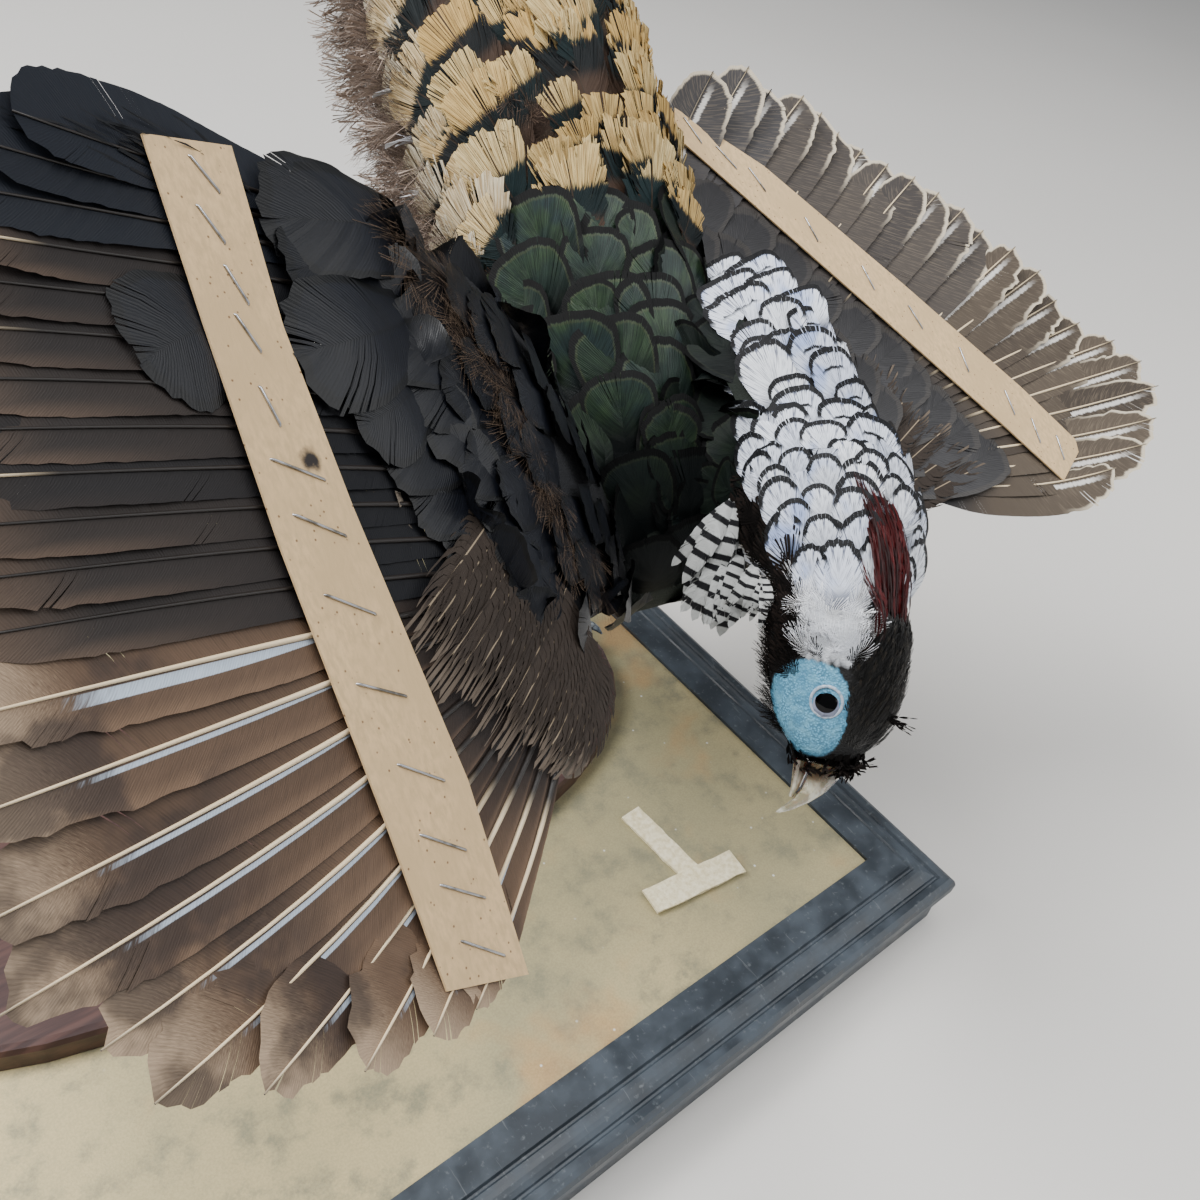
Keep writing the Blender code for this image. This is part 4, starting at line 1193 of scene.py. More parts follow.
# Barred feathers that stand away at the foot of the ruff: root and tip as (ahead, right, up), in mm.
FLARED = (
    ((-50.9, -27.3, -41.9), (-22.4, -25.2, -51.1)),
    ((-46.3, -26.2, -39.3), (-20.4, -24.0, -47.6)),
    ((-48.0, -24.0, -39.0), (-17.9, -26.4, -46.4)),
    ((-41.2, -26.0, -36.7), (-13.6, -25.4, -41.0)),
    ((-39.9, -24.7, -35.5), (-15.9, -20.7, -38.1)),
    ((-35.1, -11.9, -29.6), (-16.4, -10.3, -33.0)),
    ((-36.0, -5.0, -27.6), (-19.0, -4.0, -29.0)),
    ((-32.1, 0.2, -24.1), (-18.3, 1.9, -25.9)),
    ((-55.2, -21.6, -40.5), (-28.5, -20.1, -51.5)),
)


def head_point(ahead, right, up):
    return np.array(HEAD_MIDDLE + (HEAD_FORWARD * ahead + HEAD_RIGHT * right + HEAD_UP * up) * MM)


def make_flared(coat):
    plumage = Plumage("leaf", 14, 3, coat.seed + 18, fray=0.18, split=0.7, rare=0.5, comb=0.4)
    draw = np.random.default_rng(coat.seed + 19)
    outward = np.array(HEAD_RIGHT + HEAD_UP * 0.3)
    for root, tip in FLARED:
        for copy in range(4):
            one, two = head_point(*root), head_point(*tip)
            shift = draw.normal(0, 0.0034, 3) * min(copy, 1)
            share = np.linspace(0, 1, 6)[:, None]
            spine = one + (two + shift - one) * share + outward * 0.004 * (4 * share * (1 - share))
            half = np.linalg.norm(two - one) * draw.uniform(0.10, 0.15)
            plumage.add(spine, *blade_axes(spine, outward), half, skin().patch_at(one))
    barred = barred_paint("flared_vane", linear(186, 188, 186), linear(14, 14, 18), 5.0)
    coat_piece("coat_ruff_edge", plumage, barred, camber=10.0, ruffle=0.0006)


class PHEASANT_OT_head_coat(PheasantOperator, bpy.types.Operator):
    """Cape, throat, crown, cheeks, lores and crest"""

    bl_idname = "pheasant.head_coat"
    bl_label = "Head and neck coat"

    def make(self, coat, colours, mount):
        width = coat.ruff_scale
        flow = lambda p, n: cape_flow(p, n) if skin_part(p) == "cape" else neck_flow(p, n)
        where = ("neck", "cape")
        sizes = (
            ("coat_nape", "scale", 0.88, 0.42, 1.7, on_ruff_from(-0.069, 0.0), 20.0, 0.35, None),
            ("coat_cape", "broad", 1.18, 0.42, 1.5, on_ruff_from(-0.108, -0.062), 5.4, 0.82, (CAPE_UP, 0.35)),
            ("coat_cape_rear", "square", 1.50, 0.34, 1.05, on_ruff_from(-0.125, -0.108), 5.6, 1.0,
             (CAPE_UP, 0.62)),
        )
        for number, (name, outline, scale, spacing, length, keep, inner, stiff, lean) in enumerate(sizes):
            wide = width * scale
            ruff = Plumage(outline, 18, 3, coat.seed + 10 + number, fray=0.09, split=0.5, rare=0.14,
                           loose=0.02, shaft_end=0.5)
            grow(ruff, where, wide * spacing, wide * length, wide, 0.0058 - 0.0006 * number, flow,
                 21 + 50 * number, keep, 1.3, wild=0.12, stiff=stiff, vary=0.16, lean=lean)
            coat_piece(name, ruff, ruff_paint(colours, f"{name}_vane", inner), camber=3.0, ruffle=0.0003)
        make_flared(coat)
        hair = dict(fray=0.35, split=0.9, loose=0.74, thin=0.6, shaft_end=0.40)
        cheek = Plumage("broad", 14, 2, coat.seed + 11, **hair)
        grow(cheek, ("head", "neck"), 0.0026, 0.0115, 0.0072, 0.0030, head_flow, 22, on_white_cheek, 1.15,
             wild=0.2)
        white = plain_paint("white_cheek", linear(232, 237, 247), linear(244, 246, 252), 0.6, dark=0.72)
        coat_piece("coat_white_cheek", cheek, white, camber=6.0, ruffle=0.0012)
        blown = Plumage("broad", 14, 2, coat.seed + 20, **hair)
        grow(blown, ("head",), 0.0026, 0.0088, 0.0062, 0.0046, cheek_flow, 28, on_blown_cheek, 1.15,
             wild=0.35)
        flecked = barred_paint("blown_cheek", linear(238, 241, 248), linear(10, 10, 14), 2.2)
        coat_piece("coat_blown_cheek", blown, flecked, camber=6.0, ruffle=0.0016)
        black = plain_paint("black_velvet", linear(15, 12, 11), linear(34, 27, 24), 0.85, 0.7, dark=0.4,
                            gloss=0.1)
        throat = Plumage("broad", 12, 2, coat.seed + 12, fray=0.3, split=0.9, loose=0.35, shaft_end=0.6)
        grow(throat, ("neck",), 0.0046, 0.017, 0.012, 0.0035, neck_flow, 23, on_throat, 1.25, wild=0.25)
        coat_piece("coat_throat", throat, black, camber=6.0, ruffle=0.001)
        crown = Plumage("lance", 8, 1, coat.seed + 13, fray=0.3, split=0.8, loose=0.5, thin=0.3,
                        shaft_end=0.6)
        grow(crown, ("head",), 0.0015, 0.0125, 0.0028, 0.0010, head_flow, 24, on_crown, 1.1, wild=0.12,
             steps=5)
        gloss = plain_paint("crown", linear(7, 6, 5), linear(44, 37, 26), 0.36, 0.80, dark=0.4, gloss=0.4)
        coat_piece("coat_crown", crown, gloss, camber=10.0, ruffle=0.0006, sheen=0.8)
        tufts = Plumage("leaf", 10, 1, coat.seed + 14, fray=0.4, split=0.9, loose=0.5, thin=0.4,
                        shaft_end=0.45)
        grow(tufts, ("head",), 0.0016, 0.0095, 0.0052, 0.0034, head_flow, 25, on_cheek, 1.1, wild=0.45,
             steps=4)
        coat_piece("coat_cheek", tufts, black, camber=6.0, ruffle=0.002)
        bristles = Plumage("lance", 4, 1, coat.seed + 15, fray=0.4, split=0.9, loose=0.5)
        grow(bristles, ("head",), 0.0010, 0.0130, 0.0018, 0.0030, lores_flow, 26, on_lores, 1.1, wild=0.40,
             steps=4, stiff=0.6)
        spot, _, face = skin().near(head_point(1.5, 4.0, 17.0))
        draw = np.random.default_rng(coat.seed + 21)
        for _ in range(7):
            way = unit(np.array(HEAD_UP) + np.array(HEAD_FORWARD) * draw.normal(0.2, 0.25))
            root = spot - np.array(HEAD_UP) * 0.002
            spine, side, up = skin().spine(root, np.array(HEAD_RIGHT), way, draw.uniform(0.008, 0.011), 0.0,
                                           0.001, 4, 1.0)
            bristles.add(spine, side, up, 0.0005, skin().unwrap(face))
        coat_piece("coat_lores", bristles, black, camber=0.0, ruffle=0.001)
        make_crest(coat, colours)
        for hand, sign in (("R", 1), ("L", -1)):
            make_eyelid(hand, sign)
            dress(frame["nodes"][f"eye_{hand}"], eye_paint(hand, sign))
        horn = horn_paint()
        for node in ("bill_upper", "bill_lower"):
            dress(frame["nodes"][node], horn)


def skin_part(place):
    coat = skin()
    return FLESH[coat.labels[coat.near(place)[2]]]


def strand(plumage, start, target, share, heights, half, draw):
    """One hair-like feather over the skin, part of the way from start to target."""
    surface = skin()
    points, ups = [], []
    extra = draw.normal(0, 0.0005)
    _, _, face = surface.near(start)
    count = 7
    for i in range(count):
        s = i / (count - 1)
        under, up, _ = surface.near(np.array(start.lerp(target, s * share)))
        points.append(under + up * (np.interp(s, (0.0, 0.15, 0.5, 1.0), heights) + extra))
        ups.append(up)
    points, ups = smooth_path(points, 9), smooth_path(ups, 9)
    ways = unit(np.gradient(points, axis=0))
    sides = unit(np.cross(ways, ups))
    plumage.add(points, sides, np.cross(sides, ways), half, surface.unwrap(face))


def make_crest(coat, colours):
    """Hair-like maroon feathers from the hind crown down the right of the nape, the inner ones longest."""
    strands = Plumage("long", 5, 1, coat.seed + 16, fray=0.25, split=0.9, loose=0.3)
    draw = np.random.default_rng(coat.seed + 17)
    for _ in range(230):
        spread = draw.uniform(-1, 1)
        back = draw.uniform(0.026, 0.042)
        start = HEAD_MIDDLE - HEAD_FORWARD * back + HEAD_RIGHT * (0.0110 + 0.0040 * spread)
        start += HEAD_UP * (0.0165 - 0.0048 * spread)
        target = HEAD_MIDDLE - HEAD_FORWARD * 0.0715 + HEAD_RIGHT * (-0.0050 + 0.0035 * spread)
        target += HEAD_UP * (0.0000 - 0.0052 * spread)
        share = draw.uniform(0.62, 1.0) * (0.84 + 0.16 * spread)
        heights = (0.0008, 0.0036, 0.0062, 0.0050)
        strand(strands, start, target, share, heights, draw.uniform(0.00025, 0.0006), draw)
    for _ in range(9):
        back = draw.uniform(0.018, 0.022)
        start = HEAD_MIDDLE - HEAD_FORWARD * back + HEAD_RIGHT * draw.uniform(0.010, 0.014)
        start += HEAD_UP * draw.uniform(0.0085, 0.0105)
        target = start - HEAD_FORWARD * 0.022 - HEAD_UP * draw.uniform(0.005, 0.007)
        strand(strands, start, target, draw.uniform(0.6, 1.0), (0.002, 0.0055, 0.007, 0.007), 0.0004, draw)
    made = link(strands.mesh("crest_strands", camber=0.0, ruffle=0.0003, sheen=0.7), "crest_strands")
    paint = Paint("crest_strand", 0.36)
    tint = paint.own("tint")
    maroon = paint.mix(tint.between(0.2, 0.95), shade(colours.crest, 0.4), linear(84, 12, 15))
    dress(made, finish_vane(paint, maroon, 0.4, 0.3, 0.5, gloss=0.22))
    settle(made, ("crest",))


def make_eyelid(hand, sign):
    """A pale ring round the eye, laid on the skin."""
    axis = HEAD_RIGHT * sign
    middle = HEAD_MIDDLE + axis * EYE_OUT
    turn = axis.to_track_quat("Z", "Y").to_euler()
    ring = dict(major_radius=0.0043, minor_radius=0.00048, major_segments=48, minor_segments=12)
    bpy.ops.mesh.primitive_torus_add(location=middle, rotation=turn, **ring)
    made = bpy.context.view_layer.objects.active
    made.name = f"eyelid_{hand}"
    bpy.ops.object.transform_apply(location=True, rotation=True, scale=True)
    for vertex in made.data.vertices:
        away = vertex.co - middle
        away = (away - axis * away.dot(axis)).normalized()
        hit = skin().tree.ray_cast(middle + away * 0.0050 + axis * 0.012, -axis)[0]
        vertex.co += axis * ((hit - middle).dot(axis) if hit else 0.0040)
    made.data.shade_smooth()
    paint = Paint(f"eyelid_{hand}", 0.3)
    pale = paint.mix(paint.noise(900, 3).between(0.4, 0.65), linear(174, 182, 194), linear(120, 150, 170))
    paint.colour(pale).bump(paint.noise(1400, 3), 0.3, 0.0002)
    dress(made, paint)
    settle(made)


def eye_paint(hand, sign):
    """Black glass with a pale lilac rim, under a clear coat."""
    paint = Paint(f"eye_{hand}", 0.05)
    middle = HEAD_MIDDLE + HEAD_RIGHT * sign * EYE_OUT
    one = paint.toward(middle, HEAD_FORWARD)
    two = paint.toward(middle, HEAD_UP)
    off = paint.math("SQRT", one ** 2.0 + two ** 2.0)
    paint.colour(paint.mix(off.between(0.0030, 0.0032), linear(1, 1, 1), linear(128, 134, 154)))
    paint.set(Coat_Weight=0.2, Coat_Roughness=0.02, Specular_IOR_Level=0.1)
    return paint


def horn_paint():
    """Translucent yellow-grey horn, darker at its base and scuffed along its length."""
    paint = Paint("bill_horn", 0.2)
    ahead = paint.toward(HEAD_MIDDLE, HEAD_FORWARD)
    streaks = paint.noise(420, 4, stretch=(1.0, 0.35, 0.35))
    horn = paint.mix(streaks.between(0.38, 0.62), linear(146, 138, 112), linear(220, 215, 194))
    horn = paint.mix(ahead.between(0.028, 0.020), horn, linear(84, 74, 56))
    paint.colour(horn).bump(streaks, 0.35, 0.0003)
    paint.rough(paint.noise(260, 3).between(0.3, 0.7, 0.08, 0.3))
    paint.set(Subsurface_Weight=0.1, Transmission_Weight=0.25, Coat_Weight=1.0, Coat_Roughness=0.05)
    return paint


# ---------------------------------------------------------------- wings
# Groups of wing feathers: count, then root, bend and tip lines as (rearward, outward) in mm.
FANS = {
    "R": {
        "primaries": (
            10,
            ((-20, 18.5), (-8, 25), (14, 36.5)),
            ((-58, 52), (-34, 88), (24, 95)),
            ((-68, 82), (-67, 100), (-62, 120), (-53, 144), (-41, 160), (-25, 169), (-8, 172), (12, 169),
             (30, 163)),
        ),
        "secondaries": (
            9,
            ((14.5, 36.5), (92, 36.5)),
            ((25, 95), (100, 90)),
            ((30.5, 163), (50, 159), (68, 155), (88, 149), (104, 139)),
        ),
        "tertials": (3, ((92.5, 36.5), (108, 40)), ((101, 85), (118, 66)),
                     ((104.5, 139), (116, 130), (124, 116))),
    },
    "L": {
        "primaries": (
            10,
            ((-20, 16.5), (-8, 25), (14, 36.5)),
            ((-66, 40), (-46, 92), (-1, 95)),
            (
                (-97, 80), (-109, 104), (-114, 130), (-111, 156), (-94, 162),
                (-73, 160), (-53, 158), (-32, 155), (-12, 152),
            ),
        ),
        "secondaries": (
            9,
            ((14.5, 36.5), (92, 36.5)),
            ((2, 95), (97, 88)),
            ((-11.5, 152), (18, 149), (45, 146), (72, 143), (95, 135)),
        ),
        "tertials": (3, ((92.5, 36.5), (110, 42)), ((98, 86), (120, 62)),
                     ((95.5, 135), (114, 122), (129, 101))),
    },
}
# Rows of coverts over them: count, roots, bends, tips, height over the wing and half width, in mm.
COVERTS = {
    "R": {
        "greater": (5, ((6, 6), (66, 34)), ((10, 30), (66, 50)), ((16, 42), (68, 66)), 2.2, 13.0),
        "median": (6, ((14, 0), (74, 12)), ((20, 18), (78, 30)), ((24, 30), (80, 50)), 4.0, 11.5),
        "hand": (17, ((-16, -2), (8, 4), (34, 26)), ((-34, 14), (-6, 32), (24, 46)),
                 ((-37, 32), (-20, 60), (8, 80)), 3.0, 6.5),
    },
    "L": {
        "greater": (10, ((-30, 16), (20, 24), (100, 24)), ((-50, 40), (17, 52), (104, 54)),
                    ((-60, 62), (10, 76), (106, 76)), 2.4, 11.0),
        "median": (8, ((-10, 2), (92, 4)), ((-6, 30), (97, 34)), ((-4, 50), (99, 56)), 4.4, 10.0),
        "hand": (7, ((-30, 8), (10, 20)), ((-44, 34), (14, 44)), ((-56, 50), (18, 64)), 2.6, 7.0),
    },
}
# Single large coverts: root, tip, half width, height over the wing at root, middle and tip, in mm.
LONE_COVERTS = {
    "R": (
        ((100, 16), (105, 70), 14.0, (2.0, 6.0, 2.6)),
        ((112, 30), (113, 66), 9.0, (1.5, 4.0, 3.0)),
        ((94, 30), (93, 68), 12.0, (1.0, 3.4, 3.0)),
        ((82, 32), (75, 74), 16.0, (2.5, 6.0, 2.6)),
        ((66, 36), (57, 63), 13.0, (2.0, 4.5, 2.6)),
        ((83, 84), (75, 110), 15.0, (0.4, 2.0, 1.6)),
    ),
    "L": (),
}
FLIGHT_STEPS = 14
# How far up a shaft is dark, and the share of the shafts that are dark all along.
SHAFT_DARK = {"Rsecondaries": (0.80, 0.7), "Rtertials": (0.9, 1.0), "Ltertials": (0.5, 0.7)}


def line_at(points, share):
    """A place along a line of (rearward, outward) points, in metres."""
    p = np.array(points, float) * MM
    at = np.linspace(0, 1, len(p))
    return np.array([np.interp(share, at, p[:, 0]), np.interp(share, at, p[:, 1])])


def fan_line(group, share, along):
    """A place on a fan: share across it, along from root to tip."""
    roots, bends, tips = group[1:4]
    root, bend, tip = (line_at(line, share) for line in (roots, bends, tips))
    return root * (1 - along) ** 2 + 2 * bend * along * (1 - along) + tip * along**2


def fan_feather(hand, group, k, reach=1.0, height=0.0, tilt=0.05, curl=0.0, flip=1):
    """Spine, sideways and outward directions, and the spacing to the next feather."""
    count = group[0]
    share = (k + 0.5) / count
    _, _, _, up = wing_axes(hand)
    points, gaps = [], []
    for i in range(FLIGHT_STEPS):
        along = i / (FLIGHT_STEPS - 1) * reach
        u, v = fan_line(group, share, along)
        rise = height + curl * max(0.0, along - 0.6) ** 2
        points.append(wing_point(hand, u, v, rise))
        low = fan_line(group, max(0.0, share - 0.5 / count), along)
        high = fan_line(group, min(1.0, share + 0.5 / count), along)
        gaps.append(float(np.linalg.norm(high - low)))
    points = np.array(points)
    ways = unit(np.gradient(points, axis=0))
    ups = np.broadcast_to(np.array(up) * flip, points.shape)
    sides = unit(np.cross(ways, ups))
    toward = wing_point(hand, *fan_line(group, 1.0, 0.5)) - wing_point(hand, *fan_line(group, 0.0, 0.5))
    sign = 1.0 if float(sides[FLIGHT_STEPS // 2] @ toward) > 0 else -1.0
    sides = unit(sides - ups * tilt * sign)
    normals = unit(np.cross(sides, ways))
    return points, sides, normals, np.array(gaps), sign


def flight_widths(gaps, sign, lead, trail, edge=False):
    """Half widths down a flight feather, narrow on its leading side."""
    t = np.linspace(0, 1, len(gaps))
    front = np.minimum(gaps * 0.8, lead) * (0.55 if edge else 1.0)
    back = np.minimum(gaps * 1.3 + 0.004, trail) * np.interp(t, (0, 0.12, 1), (0.45, 1.0, 1.0))
    pair = (front, back) if sign > 0 else (back, front)
    return np.stack(pair, 1)


def shaft_mesh(name, spines, ups, base=0.0011, tip=0.00022, sides=6):
    """Tapered shafts joined into one mesh, each closed at both ends."""
    mesh = bmesh.new()
    layer = mesh.loops.layers.uv.new("OFBake")
    for number, (spine, up) in enumerate(zip(spines, ups)):
        ways = unit(np.gradient(spine, axis=0))
        rings = []
        for k, middle in enumerate(spine):
            radius = base + (tip - base) * (k / (len(spine) - 1)) ** 0.8
            side = unit(np.cross(ways[k], up[k]))
            ring = []
            for i in range(sides):
                angle = 2 * math.pi * i / sides
                out = side * math.cos(angle) + up[k] * math.sin(angle)
                ring.append(mesh.verts.new(middle + out * radius))
            rings.append(ring)
        for k, (one, two) in enumerate(zip(rings, rings[1:])):
            for i in range(sides):
                j = (i + 1) % sides
                face = mesh.faces.new((one[i], one[j], two[j], two[i]))
                corners = ((i, k), (i + 1, k), (i + 1, k + 1), (i, k + 1))
                for loop, (across, along) in zip(face.loops, corners):
                    x = (number + 0.1 + 0.8 * across / sides) / len(spines)
                    loop[layer].uv = (x, 0.01 + 0.98 * along / (len(spine) - 1))
        mesh.faces.new(rings[0][::-1])
        mesh.faces.new(rings[-1])
    bmesh.ops.recalc_face_normals(mesh, faces=mesh.faces)
    data = bpy.data.meshes.new(name)
    mesh.to_mesh(data)
    mesh.free()
    data.shade_smooth()
    return data


def stripe(across, low, high):
    """1 between two places across a vane, with soft sides."""
    rising = across.between(low - 0.012, low + 0.012)
    return rising * across.between(high + 0.012, high - 0.012)


def near_flight_paint(colours, kind):
    """Flight feather of the near wing: brown primaries with a blue-white stripe, dark secondaries."""
    paint = Paint(f"flight_R_{kind}", 0.55)
    across, along = paint.map_parts("Vane")
    tint = paint.own("tint")
    drift = jittered(paint, along, 0.10, 5.0)
    off = abs(across - 0.5)
    if kind == "primaries":
        tone = paint.mix(tint, colours.flight, linear(98, 78, 62))
        tone = paint.mix(drift.between(0.50, 0.20), tone, linear(36, 30, 28))
        tone = paint.mix(off.between(0.28, 0.50, 0.0, 0.7), tone, linear(122, 98, 78))
        mottle = paint.grain(2.2, 3.0)
        tone = paint.mix(mottle.between(0.5, 0.75, 0.0, 0.3), tone, linear(48, 38, 32))
        tone = paint.mix(jittered(paint, along, 0.16).between(0.84, 0.99), tone, linear(166, 144, 120))
        dabs = paint.noise(42, 4).between(0.46, 0.58) * along.between(0.6, 0.8)
        tone = paint.mix(dabs * 0.7, tone, linear(46, 38, 36))
        wide = along.between(0.30, 0.70, 0.002, 0.060)
        wide = wide * paint.own("zone").between(0.0, 1.0, 1.0, 2.4)
        low = 0.455 - wide
        band = jittered(paint, across, 0.02).between(low, low + 0.012)
        band = band * across.between(0.462, 0.450)
        band = band * jittered(paint, along, 0.10, 2.0).between(0.88, 0.80)
        band = band * along.between(0.28, 0.36)
        tone = paint.mix(band, tone, linear(182, 194, 208))
    else:
        tone = paint.mix(tint, linear(28, 26, 27), linear(44, 38, 35))
        tone = paint.mix(drift.between(0.60, 0.35), tone, linear(17, 18, 22))
        warm = off.between(0.20, 0.50) * along.between(0.55, 0.95)
        end = jittered(paint, along, 0.06).between(0.80, 1.0)
        warm = paint.math("MAXIMUM", warm, end) * tint.between(0.0, 0.9, 0.1, 0.75)
        tone = paint.mix(warm, tone, linear(98, 80, 66))
    if kind == "tertials":
        tone = paint.mix(tint, linear(17, 20, 26), linear(24, 28, 36))
    finish_vane(paint, tone, 0.6, 0.3, 0.80)
    return paint


def far_flight_paint(kind):
    """Flight feather of the far wing: grey-brown with mottled, scalloped whitish tips."""
    paint = Paint(f"flight_L_{kind}", 0.65)
    across, along = paint.map_parts("Vane")
    tint = paint.own("tint")
    tone = paint.mix(tint, linear(60, 52, 45), linear(84, 74, 63))
    slate = {"primaries": 0.0, "secondaries": 0.5, "tertials": 0.9}[kind]
    tone = paint.mix(slate, tone, linear(62, 61, 63))
    tone = paint.mix(along.between(0.45, 0.20), tone, linear(38, 38, 41))
    mottle = paint.grain(1.6, 4.0)
    spots = mottle.between(0.50, 0.62) * along.between(0.40, 0.75)
    tone = paint.mix(spots * 0.22, tone, linear(150, 136, 116))
    tip = jittered(paint, paint.own("rim"), 1.2, 3.0).between(1.5, 0.7)
    tip = tip * along.between(0.72, 0.92)
    tone = paint.mix(tip, tone, linear(206, 194, 172))
    white = stripe(jittered(paint, across, 0.08, 1.5), 0.39, 0.455)
    patchy = 0.9 if kind == "secondaries" else 0.3
    white = white * jittered(paint, along, patchy, 0.35).between(0.50, 0.58)
    white = white * along.between(0.97, 0.88)
    if kind != "primaries":
        white = white * tint.between(0.50, 0.65)
    tone = paint.mix(white, tone, linear(214, 210, 204))
    finish_vane(paint, tone, 0.6, 0.25, 0.86)
    return paint


def shaft_paint(name, colours, dark_until, dark_share=0.0):
    """Cream shaft, dark up to a share of its length; a share of the shafts is dark all along."""
    paint = Paint(name, 0.4)
    number, along = paint.map_parts("OFBake")
    cream = paint.mix(paint.noise(60, 3), colours.shaft, linear(226, 208, 176))
    pale = along.between(dark_until, dark_until + 0.12)
    if dark_share:
        chosen = paint.math("FRACT", paint.math("FLOOR", number * 9) * 0.618)
        pale = pale * chosen.between(dark_share, dark_share + 0.02)
    pale = pale * along.between(1.0, 0.90, 0.35, 1.0)
    paint.colour(paint.mix(pale, linear(30, 25, 22), cream))
    return paint


def make_flight(hand, colours, coat):
    """All the flight feathers of one wing, with their shafts."""
    draw = np.random.default_rng(coat.seed + (31 if hand == "R" else 32))
    up = np.array(wing_axes(hand)[3])
    for kind, group in FANS[hand].items():
        worn = 0.26 if kind == "primaries" else 0.10
        vanes = Plumage("flight", 58, 3, coat.seed + 33, fray=0.03, split=0.6, rare=0.07, worn=worn, lag=1.05,
                        shaft_end=0.97)
        spines = []
        for k in range(group[0]):
            curl = 0.018 + 0.012 * math.sin(k * 0.9) if hand == "R" else 0.06 + 0.03 * math.sin(k * 0.8)
            reach = draw.uniform(0.955, 1.0)
            layer = 0.0002 if kind == "tertials" else 0.0
            spine, side, normal, gaps, sign = fan_feather(hand, group, k, reach, layer, 0.07, curl)
            lead, trail = (0.0085, 0.0140) if kind == "primaries" else (0.0100, 0.0150)
            width = flight_widths(gaps, sign, lead, trail, kind == "primaries" and k == 0)
            if sign < 0:
                side, normal = -side, -normal
            place = ((k + 0.04) / group[0], 0.92 / group[0])
            wedge = 1.0 if kind == "primaries" and k == 9 else 0.0
            vanes.add(spine, side, normal, width, place, None, wedge)
            spines.append(spine + up * 0.0002)
        name = f"wing_{hand}_{kind}_vanes"
        made = link(vanes.mesh(name, camber=0.6, ruffle=0.0002, wave=0.0003, patch=None, sheen=0.12), name)
        paint = near_flight_paint(colours, kind) if hand == "R" else far_flight_paint(kind)
        dress(made, paint)
        settle(made, (f"wing_{hand}_{kind}",))
        name = f"wing_{hand}_{kind}_shafts"
        thick = 0.0011 if kind == "primaries" else 0.0008
        shafts = link(shaft_mesh(name, spines, [np.broadcast_to(up, s.shape) for s in spines], thick), name)
        dark_until, dark_share = SHAFT_DARK.get(hand + kind, (0.30, 0.0))
        dress(shafts, shaft_paint(name, colours, dark_until, dark_share))
        settle(shafts)


def arm_side(hand, sign):
    """A test for the upper (1) or under (-1) side of a wing's arm."""
    up = np.array(wing_axes(hand)[3])
    return lambda place: float(skin().near(place)[1] @ up) * sign > (-0.25 if sign > 0 else 0.75)


def arm_flow(hand):
    _, rear, out, _ = wing_axes(hand)
    way = unit(np.array(out) + np.array(rear) * (0.15 if hand == "R" else 0.5))
    return lambda place, normal: way


def lay_feather(plumage, hand, root, tip, half, heights, steps=7, bow=0.0):
    """One feather over the wing between two (rearward, outward) places, in millimetres."""
    up = wing_axes(hand)[3]
    points = []
    for k in range(steps):
        share = k / (steps - 1)
        u = root[0] + (tip[0] - root[0]) * share + bow * 4 * share * (1 - share)
        v = root[1] + (tip[1] - root[1]) * share
        points.append(wing_point(hand, u * MM, v * MM, np.interp(share, (0, 0.5, 1), heights) * MM))
    plumage.add(points, *blade_axes(points, up), half * MM, skin().patch_at(points[0]))


